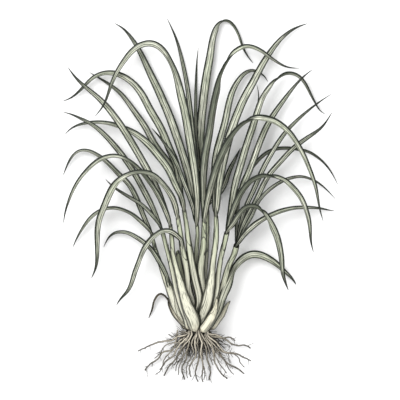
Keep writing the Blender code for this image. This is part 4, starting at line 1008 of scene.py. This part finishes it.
def ball(radius: np.ndarray, rise: np.ndarray, around: np.ndarray) -> np.ndarray:
    """A ball: radius times (sin rise cos around, minus cos rise, minus sin rise sin around)."""
    across = radius * np.sin(rise)
    return np.stack([across * np.cos(around), -radius * np.cos(rise), -across * np.sin(around)], axis=-1)


@dataclass
class Crown:
    """The short ringed stock that the stalks stand on: a squashed ball with old scars round it."""

    centre: tuple[float, float, float] = (-0.4, -25.3, 2.7)
    size: tuple[float, float, float] = (2.3, 0.72, 1.6)
    rings: int = 7
    knobs: int = 9
    ring_height: float = 0.03
    knob_height: float = 0.05

    def patch(self, rng: np.random.Generator) -> Patch:
        """The ball: radius 1 plus rings about the clump's length plus knobs, stretched to size.

        Args:
            rng: source of the knobs.

        Returns:
            The patch, whose guide is (ring height, share of the length, shade).
        """
        rise = np.linspace(0.02, np.pi - 0.02, 60)[:, None]
        around = np.linspace(0, 2 * np.pi, 96, endpoint=False)[None, :]
        ring = 0.5 + 0.5 * np.cos(2 * np.pi * self.rings * rise / np.pi)
        lump = lumps(rise, around, rng, self.knobs, (0.8, 2.4), 0.3)
        radius = 1 + self.ring_height * (ring - 2) + self.knob_height * lump
        grid = in_frame(ball(radius, rise, around) * np.array(self.size) + np.array(self.centre))
        guide = np.stack(np.broadcast_arrays(ring, rise / np.pi, 1 - ring + 0 * around), axis=-1)
        return Patch(grid, guide, grid.copy())

    def dress(self, seed: int, finish: "RootFinish") -> bpy.types.Object:
        """Builds the crown, ties it to the root body and hides its node."""
        rng = np.random.default_rng(seed)
        return fit(skin("crown_stock", [self.patch(rng)], finish.material()), "crown")


@dataclass
class RootTuft:
    """One tuft of wiry roots: main roots, finer ones beside them, and rootlets that branch off."""

    name: str
    pad_x: float
    roots: list[tuple[float, list[tuple[float, float]]]]
    finer: list[tuple[float, list[tuple[float, float]]]]
    start_z: float = 2.9
    radius: float = 2.3
    finer_radius: float = 1.6
    taper: float = 0.48
    row_length: float = 0.16
    kink_size: float = 0.08
    rootlets: int = 6
    rootlet_radius: tuple[float, float] = (0.62, 0.3)
    rootlet_slant: tuple[float, float] = (0.45, 1.1)
    rootlet_reach: tuple[float, float] = (0.35, 1.3)
    hairs: int = 30
    hair_radius: float = 1.2
    hair_reach: tuple[float, float] = (1.2, 5.2)
    hair_spread: float = 38.0
    hair_drop: float = 0.7
    pad_size: tuple[float, float, float] = (0.95, 0.32, 0.8)
    pad_knobs: int = 14

    def tube(self, line: np.ndarray, radius: np.ndarray, columns: int, age: float) -> Patch:
        """A round root: rings of the given radius about its line.

        Args:
            line: its places, in metres.
            radius: its radius at each place, in metres.
            columns: points in a ring.
            age: how dark the root is at its foot, from 0 to 1.

        Returns:
            The patch, whose guide is (flank, share of the length, shade).
        """
        _, level, up = frames(line)
        around = np.linspace(0, 2 * np.pi, columns, endpoint=False)[None, :]
        ring = (radius[:, None] * np.cos(around))[..., None] * level[:, None, :] \
            - (radius[:, None] * np.sin(around))[..., None] * up[:, None, :]
        t = np.linspace(0, 1, len(line))[:, None]
        shade = age + (1 - age) * t
        guide = np.stack(np.broadcast_arrays(np.abs(np.cos(around)), t, shade), axis=-1)
        grid = line[:, None, :] + ring
        return Patch(off_the_bench(grid), guide, grid.copy())

    def path(self, tip_z: float, route: list[tuple[float, float]], rng: np.random.Generator) -> np.ndarray:
        """A root's line in cm, falling from the pad to its tip, with small kinks on the way.

        Args:
            tip_z: height of its tip.
            route: its places seen from above.
            rng: source of the kinks.

        Returns:
            The line, one row for each 1.6 mm.
        """
        route = [(self.pad_x + 0.6 * (route[0][0] - self.pad_x), -25.95)] + route
        length = spline_through(route, 8)[1]
        rows = max(14, int(length / self.row_length))
        line, _ = spline_through(route, rows)
        t = np.linspace(0, 1, rows)
        high = self.start_z + 0.5 * (tip_z - self.start_z)
        z = high + (tip_z - high) * smooth_step(t) + 0.12
        kinks = np.stack([sway(t, rng, 14, self.kink_size) for _ in range(3)], axis=1)
        kinks = kinks * smooth_step(t / 0.15)[:, None]
        path = np.column_stack([line, z]) + kinks
        path[:, 2] = np.maximum(path[:, 2], 0.4)
        return path

    def branches(self, path: np.ndarray, rng: np.random.Generator, count: int) -> list[Patch]:
        """Rootlets: thin tapering curves that leave a root at a slant and droop towards the bench.

        Args:
            path: the root's line in cm.
            rng: source of their places, lengths and bends.
            count: how many.

        Returns:
            One patch for each.
        """
        along, level, _ = frames(path)
        made = []
        for _ in range(count):
            k = int(rng.uniform(0.2, 0.97) * (len(path) - 1))
            hand = rng.choice([-1.0, 1.0])
            slant = rng.uniform(*self.rootlet_slant)
            reach = rng.uniform(*self.rootlet_reach)
            t = np.linspace(0, 1, 9)[:, None]
            out = np.cos(slant) * along[k] + hand * np.sin(slant) * level[k]
            curl = rng.uniform(-0.5, 0.5) * level[k] + rng.uniform(0.0, 0.4) * along[k]
            line = path[k] + reach * (t * out + t ** 2 * curl)
            line[:, 2] -= 0.15 * reach * t[:, 0] ** 2
            line += 0.02 * np.sin(t * rng.uniform(5, 14)) * level[k]
            line[:, 2] = np.maximum(line[:, 2], 0.3)
            radius = np.linspace(*self.rootlet_radius, 9) * MM
            made.append(self.tube(in_frame(line), radius, 6, 0.9))
        return made

    def hair(self, rng: np.random.Generator) -> tuple[float, list[tuple[float, float]]]:
        """A shorter root that fans out from the knot: its tip's height and its route."""
        turn = np.radians(rng.uniform(-self.hair_spread, self.hair_spread)) + self.pad_x * 0.28
        reach = rng.uniform(*self.hair_reach)
        start = self.pad_x + rng.uniform(-0.7, 0.7)
        steps = np.linspace(0, 1, 5)
        wander = np.cumsum(rng.uniform(-0.14, 0.14, 5))
        x = start + reach * steps * np.sin(turn) + wander
        y = -26.6 - reach * steps * np.cos(turn)
        return float(rng.uniform(0.6, 2.4)), list(zip(x.tolist(), y.tolist()))

    def pad(self, rng: np.random.Generator) -> Patch:
        """The woody knot that the roots spring from: a squashed, knobby ball."""
        rise = np.linspace(0.03, np.pi - 0.03, 28)[:, None]
        around = np.linspace(0, 2 * np.pi, 40, endpoint=False)[None, :]
        lump = lumps(rise, around, rng, self.pad_knobs, (0.5, 2.6), 0.22)
        centre = np.array([self.pad_x, -25.85, self.start_z - 0.7])
        grid = in_frame(ball(0.94 + 0.09 * lump, rise, around) * np.array(self.pad_size) + centre)
        # Painted shade: the knot is darker between its knobs and lighter on them.
        guide = np.stack(np.broadcast_arrays(1 - lump, rise / 50, 1 - 0.5 * lump), axis=-1)
        return Patch(grid, guide, grid.copy())

    def dress(self, seed: int, finish: "RootFinish") -> bpy.types.Object:
        """Builds the tuft, ties it to the root body and hides its node."""
        rng = np.random.default_rng(seed)
        patches = [self.pad(rng)]
        short = [self.hair(rng) for _ in range(self.hairs)]
        kinds = ((self.radius, 0.0, 0.0, self.roots), (self.finer_radius, 0.15, 0.0, self.finer),
                 (self.hair_radius, 0.9, self.hair_drop, short))
        for size, age, drop, roots in kinds:
            for tip_z, route in roots:
                path = self.path(tip_z, route, rng)
                path[:, 2] = np.maximum(path[:, 2] - drop, 0.3)
                t = np.linspace(0, 1, len(path))
                radius = size * MM * (1 - self.taper * t) * (1 + sway(t, rng, 16, 0.05))
                patches.append(self.tube(in_frame(path), radius, 12, age))
                patches += self.branches(path, rng, self.rootlets)
        return fit(skin(self.name + "_tuft", patches, finish.material()), self.name)


# --- finishes ------------------------------------------------------------------------------------

Colour = tuple[float, float, float]


class Web:
    """A material's node tree, with short methods for the kinds of node used here."""

    def __init__(self, name: str, roughness: float) -> None:
        """Starts a material whose shader has the given roughness and a dielectric's gloss."""
        self.material = bpy.data.materials.new(name)
        self.material.use_nodes = True
        self.tree = self.material.node_tree
        self.shader = self.tree.nodes["Principled BSDF"]
        self.shader.inputs["Roughness"].default_value = roughness

    def put(self, value: "bpy.types.NodeSocket | float | Colour", socket: bpy.types.NodeSocket) -> None:
        """Links a socket to another, or sets it where the value is a number or a colour."""
        if isinstance(value, bpy.types.NodeSocket):
            self.tree.links.new(value, socket)
        elif isinstance(value, tuple) and socket.type == "RGBA":
            socket.default_value = (*value, 1.0)
        else:
            socket.default_value = value

    def attribute(self, name: str) -> bpy.types.NodeSocket:
        """The vector that the mesh keeps under a name."""
        node = self.tree.nodes.new("ShaderNodeAttribute")
        node.attribute_name = name
        return node.outputs["Vector"]

    def split(self, vector: bpy.types.NodeSocket) -> list[bpy.types.NodeSocket]:
        """The three parts of a vector."""
        node = self.tree.nodes.new("ShaderNodeSeparateXYZ")
        self.put(vector, node.inputs[0])
        return list(node.outputs)

    def object_place(self) -> bpy.types.NodeSocket:
        """Object coordinates."""
        return self.tree.nodes.new("ShaderNodeTexCoord").outputs["Object"]

    def sum(self, operation: str, *values: "bpy.types.NodeSocket | float") -> bpy.types.NodeSocket:
        """A Math node of the named operation."""
        node = self.tree.nodes.new("ShaderNodeMath")
        node.operation = operation
        for value, socket in zip(values, node.inputs):
            self.put(value, socket)
        return node.outputs[0]

    def spread(self, value: bpy.types.NodeSocket, low: float, high: float, start: float = 0.0,
               end: float = 1.0) -> bpy.types.NodeSocket:
        """Carries a value from the range low..high to start..end along a smooth step."""
        node = self.tree.nodes.new("ShaderNodeMapRange")
        node.interpolation_type = "SMOOTHSTEP"
        for value_in, socket in zip((value, low, high, start, end), node.inputs):
            self.put(value_in, socket)
        return node.outputs[0]

    def noise(self, vector: bpy.types.NodeSocket, scale: float, detail: float = 3.0,
              seed: float = 0.0) -> bpy.types.NodeSocket:
        """Noise from 0 to 1 read at a vector; the seed moves it to another place."""
        move = self.tree.nodes.new("ShaderNodeMapping")
        self.put(vector, move.inputs["Vector"])
        move.inputs["Location"].default_value = (seed, 0.0, 0.0)
        node = self.tree.nodes.new("ShaderNodeTexNoise")
        self.put(move.outputs[0], node.inputs["Vector"])
        node.inputs["Scale"].default_value = scale
        node.inputs["Detail"].default_value = detail
        return node.outputs["Fac"]

    def mix(self, share: "bpy.types.NodeSocket | float", a: "bpy.types.NodeSocket | Colour",
            b: "bpy.types.NodeSocket | Colour") -> bpy.types.NodeSocket:
        """A colour between a and b."""
        node = self.tree.nodes.new("ShaderNodeMix")
        node.data_type = "RGBA"
        self.put(share, node.inputs[0])
        self.put(a, node.inputs[6])
        self.put(b, node.inputs[7])
        return node.outputs[2]

    def emboss(self, height: bpy.types.NodeSocket, depth: float) -> None:
        """Raises fine relief of the given depth in metres."""
        node = self.tree.nodes.new("ShaderNodeBump")
        node.inputs["Distance"].default_value = depth
        self.put(height, node.inputs["Height"])
        self.put(node.outputs[0], self.shader.inputs["Normal"])

    def colour(self, value: bpy.types.NodeSocket) -> None:
        """Sets the base colour."""
        self.put(value, self.shader.inputs["Base Color"])


@dataclass(frozen=True)
class LeafFinish:
    """Leaf tissue: pale midrib between dark lines, parallel veins, dark margins and a dry tip, with painted
    shade on the under face, on one half and where the strap stands on edge.
    """

    name: str = "leaf_blade"
    slot: str = "leaf"
    light: Colour = (0.85, 0.87, 0.72)
    deep: Colour = (0.68, 0.72, 0.56)
    line: Colour = (0.009, 0.013, 0.007)
    # Dark colour of the under face, partly its own duller tone and partly painted shade; it also paints the
    # shade on one half of the blade and where the strap stands on edge.
    under: Colour = (0.085, 0.10, 0.065)
    pale: Colour = (0.70, 0.70, 0.56)
    tip_start: float = 0.86
    tip_length: float = 0.16
    vein_waves: float = 2 * np.pi / (1.5 * MM)
    bold_vein: float = 0.47
    rim_line: float = 0.8
    relief: float = 0.08 * MM
    roughness: float = 0.5
    gloss: float = 0.3

    def material(self, rng: np.random.Generator, pale_reach: float) -> bpy.types.Material:
        """The leaf's material, with its own shade and its own run of veins.

        Args:
            rng: source of the small differences.
            pale_reach: share of the length over which the foot's pallor fades.

        Returns:
            The material.
        """
        shift = float(rng.uniform(0, 30))
        web = Web(self.name, self.roughness)
        web.shader.inputs["Specular IOR Level"].default_value = self.gloss
        across, share, face_and_shade = web.split(web.attribute("guide"))
        fibre = web.attribute("fibre")
        flat = web.split(fibre)[0]
        broad = web.noise(web.object_place(), 14.0, 2.0, shift)
        tissue = web.mix(web.spread(broad, 0.35, 0.65), self.light, self.deep)
        # The under face, partly its own colour and partly painted shade, and the painted shade where the
        # strap stands on edge, take the dark under colour.
        tissue = web.mix(web.spread(face_and_shade, -1.0, 0.6, 0.85, 0.0), tissue, self.under)
        tissue = web.mix(web.spread(share, 0.0, 1.6 * pale_reach, 0.9, 0.0), tissue, self.pale)
        streak = web.noise(fibre, 850.0, 2.0, shift)
        tissue = web.mix(web.spread(streak, 0.44, 0.6, 0.0, 0.62), tissue, self.line)
        wander = web.sum("MULTIPLY", web.noise(fibre, 160.0, 1.0, shift), 3.0)
        wave = web.sum("COSINE", web.sum("ADD", web.sum("MULTIPLY", flat, self.vein_waves), wander))
        tissue = web.mix(web.spread(wave, 0.4, 1.0, 0.0, 0.4), tissue, self.line)
        # Painted shade: the half right of the midrib is darker, as if the fold turned it away from the
        # light.
        tissue = web.mix(web.spread(across, -0.05, 0.35, 0.0, 0.3), tissue, self.under)
        far = web.sum("ABSOLUTE", flat)
        half = web.sum("DIVIDE", far, web.sum("MAXIMUM", web.sum("ABSOLUTE", across), 0.02))
        bold = web.sum("ABSOLUTE", web.sum("SUBTRACT", far, web.sum("MULTIPLY", half, self.bold_vein)))
        bold = web.sum("ADD", bold, web.sum("MULTIPLY", streak, 0.9 * MM))
        tissue = web.mix(web.spread(bold, 0.5 * MM, 1.1 * MM, 0.75, 0.0), tissue, self.line)
        tissue = web.mix(web.spread(far, 0.5 * MM, 1.1 * MM, 0.9, 0.0), tissue, self.line)
        rim = web.sum("SUBTRACT", web.sum("MULTIPLY", half, self.rim_line), far)
        tissue = web.mix(web.spread(rim, 1.0 * MM, 2.0 * MM, 1.0, 0.0), tissue, self.line)
        ragged = web.sum("ADD", share, web.sum("MULTIPLY", streak, 0.08))
        dry = web.spread(ragged, self.tip_start, self.tip_start + self.tip_length, 0.0, 0.75)
        tissue = web.mix(dry, tissue, self.line)
        web.colour(tissue)
        web.emboss(web.sum("ADD", wave, web.sum("MULTIPLY", streak, 2.0)), self.relief)
        return web.material


@dataclass(frozen=True)
class WitheredFinish(LeafFinish):
    """A leaf that has dried out: straw brown all over, with its veins standing dark."""

    name: str = "withered_blade"
    slot: str = "dry_leaf"
    light: Colour = (0.44, 0.39, 0.27)
    deep: Colour = (0.26, 0.22, 0.14)
    line: Colour = (0.022, 0.017, 0.010)
    # Dark colour of the under face, partly its own and partly painted shade, as in the fresh leaf.
    under: Colour = (0.14, 0.11, 0.06)
    pale: Colour = (0.74, 0.72, 0.58)
    roughness: float = 0.7


@dataclass(frozen=True)
class StalkFinish:
    """Sheath tissue: ivory at the foot, greener at the mouth, with long ribs, and painted shade that
    darkens its flanks, the creases between stalks, its collars and margins and its throat.
    """

    name: str = "stalk_sheath"
    slot: str = "stalk"
    ivory: Colour = (0.68, 0.67, 0.54)
    # Near black, for the fibre lines and rib grooves, and for the painted shade.
    green: Colour = (0.44, 0.48, 0.33)
    line: Colour = (0.018, 0.02, 0.012)
    brown: Colour = (0.30, 0.25, 0.16)
    roughness: float = 0.4

    def material(self, rng: np.random.Generator) -> bpy.types.Material:
        """The stalk's material: fine dark lines that thicken with the painted shade towards its flanks and
        creases, and the painted shade itself.

        Args:
            rng: source of the small differences.

        Returns:
            The material.
        """
        shift = float(rng.uniform(0, 30))
        web = Web(self.name, self.roughness)
        rib, share, shade = web.split(web.attribute("guide"))
        fibre = web.attribute("fibre")
        patchy = web.noise(web.object_place(), 30.0, 3.0, shift)
        tissue = web.mix(web.spread(share, 0.25, 0.95, 0.0, 1.0), self.ivory, self.green)
        streak = web.noise(fibre, 800.0, 2.0, shift)
        # Where the painted shade is deeper, more of the streaks turn into dark lines, like hatching.
        reach = web.spread(shade, 0.0, 0.5, 0.50, 0.34)
        lines = web.spread(web.sum("SUBTRACT", streak, reach), 0.0, 0.16, 0.0, 0.65)
        tissue = web.mix(lines, tissue, self.line)
        # Rib grooves, darkened more where the painted shade is deeper.
        shaded_grooves = web.sum("MULTIPLY", web.spread(rib, 0.0, 0.45, 1.0, 0.0),
                          web.spread(shade, 0.0, 0.5, 0.2, 0.85))
        tissue = web.mix(shaded_grooves, tissue, self.line)
        foot = web.sum("ADD", share, web.sum("MULTIPLY", patchy, 0.1))
        tissue = web.mix(web.spread(foot, 0.05, 0.14, 0.55, 0.0), tissue, self.brown)
        # Painted shade: darkest at the flanks, against other stalks, at collars and margins and down the
        # throat.
        tissue = web.mix(web.spread(shade, 0.1, 0.95, 0.0, 0.96), tissue, self.line)
        web.colour(tissue)
        web.emboss(web.sum("ADD", rib, streak), 0.12 * MM)
        return web.material


@dataclass(frozen=True)
class HuskFinish(StalkFinish):
    """An old sheath, dried to straw."""

    name: str = "husk_sheath"
    ivory: Colour = (0.72, 0.69, 0.54)
    green: Colour = (0.62, 0.60, 0.45)
    roughness: float = 0.6


@dataclass(frozen=True)
class RootFinish:
    """Root bark: tan, blotched darker, and darker still at the tips."""

    name: str = "root_bark"
    slot: str = "root"
    tan: Colour = (0.68, 0.62, 0.50)
    dark: Colour = (0.014, 0.011, 0.008)
    roughness: float = 0.8

    def material(self) -> bpy.types.Material:
        """The bark's material: a noise blotches it, and fine relief roughens it."""
        web = Web(self.name, self.roughness)
        flank, _, shade = web.split(web.attribute("guide"))
        place = web.object_place()
        blotch = web.noise(place, 220.0, 4.0)
        bark = web.mix(web.spread(blotch, 0.45, 0.75, 0.0, 0.5), self.tan, self.dark)
        # Darker where the first guide value is high: painted shade towards both flanks of a root and
        # between the knobs of a knot, and the crown's dark ring scars.
        bark = web.mix(web.spread(flank, 0.4, 0.8, 0.0, 0.97), bark, self.dark)
        bark = web.mix(web.spread(shade, 0.0, 1.0, 0.0, 0.9), bark, self.dark)
        web.colour(bark)
        web.emboss(web.noise(place, 900.0, 4.0), 0.3 * MM)
        return web.material


@dataclass(frozen=True)
class CrownFinish(RootFinish):
    """The bark of the crown, a little paler."""

    name: str = "crown_bark"
    slot: str = "crown"
    tan: Colour = (0.40, 0.36, 0.27)


# --- the studio ----------------------------------------------------------------------------------

class Light(Enum):
    """The studio lights, each with its place in metres, its size and its power in watts."""

    KEY = ((-1.6, 1.3, 2.4), 2.8, 90.0)
    FILL = ((1.7, -0.4, 2.0), 2.4, 14.0)


@dataclass
class Studio:
    """A pale bench, soft light from the upper left and a long lens looking straight down."""

    distance: float = 4.0
    view: float = 0.8
    sensor: float = 36.0
    floor_size: float = 12.0
    floor_drop: float = 0.3 * MM
    floor_colour: Colour = (0.93, 0.93, 0.93)
    sky: float = 0.86

    def floor(self) -> None:
        """A flat sheet just under the clump."""
        reach = self.floor_size / 2
        corners = [(-reach, -reach), (reach, -reach), (reach, reach), (-reach, reach)]
        mesh = bpy.data.meshes.new("bench")
        mesh.from_pydata([(x, y, -self.floor_drop) for x, y in corners], [], [(0, 1, 2, 3)])
        web = Web("bench_paper", 0.9)
        web.shader.inputs["Specular IOR Level"].default_value = 0.1
        web.shader.inputs["Base Color"].default_value = (*self.floor_colour, 1.0)
        mesh.materials.append(web.material)
        bench = bpy.data.objects.new("bench", mesh)
        bpy.context.scene.collection.objects.link(bench)

    def light(self) -> None:
        """Soft lamps, and an even white sky for the shadows."""
        for lamp in Light:
            place, size, power = lamp.value
            data = bpy.data.lights.new(lamp.name.lower(), "AREA")
            data.shape = "DISK"
            data.size = size
            data.energy = power
            lamp_object = bpy.data.objects.new(lamp.name.lower(), data)
            lamp_object.location = place
            aim = np.array(place) / np.linalg.norm(place)
            lamp_object.rotation_euler = (np.arccos(aim[2]), 0.0, np.arctan2(aim[1], aim[0]) + np.pi / 2)
            bpy.context.scene.collection.objects.link(lamp_object)
        world = bpy.data.worlds.new("sky")
        world.use_nodes = True
        world.node_tree.nodes["Background"].inputs["Color"].default_value = (1.0, 1.0, 1.0, 1.0)
        world.node_tree.nodes["Background"].inputs["Strength"].default_value = self.sky
        bpy.context.scene.world = world
        bpy.context.scene.view_settings.view_transform = "Standard"

    def camera(self) -> None:
        """The camera, with a lens that takes in the view's width at the bench."""
        data = bpy.data.cameras.new("camera")
        data.sensor_width = self.sensor
        data.lens = self.sensor * self.distance / self.view
        data.clip_end = 4 * self.distance
        camera = bpy.data.objects.new("camera", data)
        camera.location = (0.0, -0.001, self.distance)
        bpy.context.scene.collection.objects.link(camera)
        bpy.context.scene.camera = camera


def lay_leaves() -> list[Leaf]:
    """Lays every leaf in the order of its solid: the sheathed shoots, the stalks, then the rest."""
    laid = Laid()
    leaves = [Leaf(*row) for row in LEAVES]
    for leaf in leaves:
        if leaf.name in SHEATHED:
            leaf.foot, leaf.lift = SHEATHED[leaf.name]
            leaf.pale = 0.45
    shoots = [leaf for leaf in leaves if leaf.name in SHEATHED]
    for leaf in shoots:
        leaf.lay(laid)
    for name, points in STALKS.items():
        line, _ = spline_through(points, 81)
        laid.add(name, line[:, :2], line[:, 3] / 10, line[:, 2] + line[:, 3] / 10)
    for leaf in leaves:
        if leaf not in shoots:
            leaf.lay(laid)
    return leaves


def main() -> None:
    """Builds the clump piece by piece, then the studio."""
    logging.basicConfig(level=logging.INFO, format="%(message)s")
    stalks = {name: (Husk if name.startswith("husk") else Stalk)(name, points)
              for name, points in STALKS.items()}
    lines = {name: stalk.centre() for name, stalk in stalks.items()}
    for seed, (name, stalk) in enumerate(stalks.items()):
        others = [line for other, line in lines.items() if other != name]
        stalk.dress(100 + seed, others, HuskFinish() if isinstance(stalk, Husk) else StalkFinish())
    for seed, leaf in enumerate(lay_leaves()):
        leaf.dress(200 + seed, lines, WitheredFinish() if leaf.name in WITHERED else LeafFinish())
    Crown().dress(300, CrownFinish())
    for seed, (name, roots) in enumerate(ROOTS.items()):
        RootTuft(name, PAD_X[name], roots, FINER_ROOTS[name]).dress(400 + seed, RootFinish())
    studio = Studio()
    studio.floor()
    studio.light()
    studio.camera()


if __name__ == "__main__":
    main()
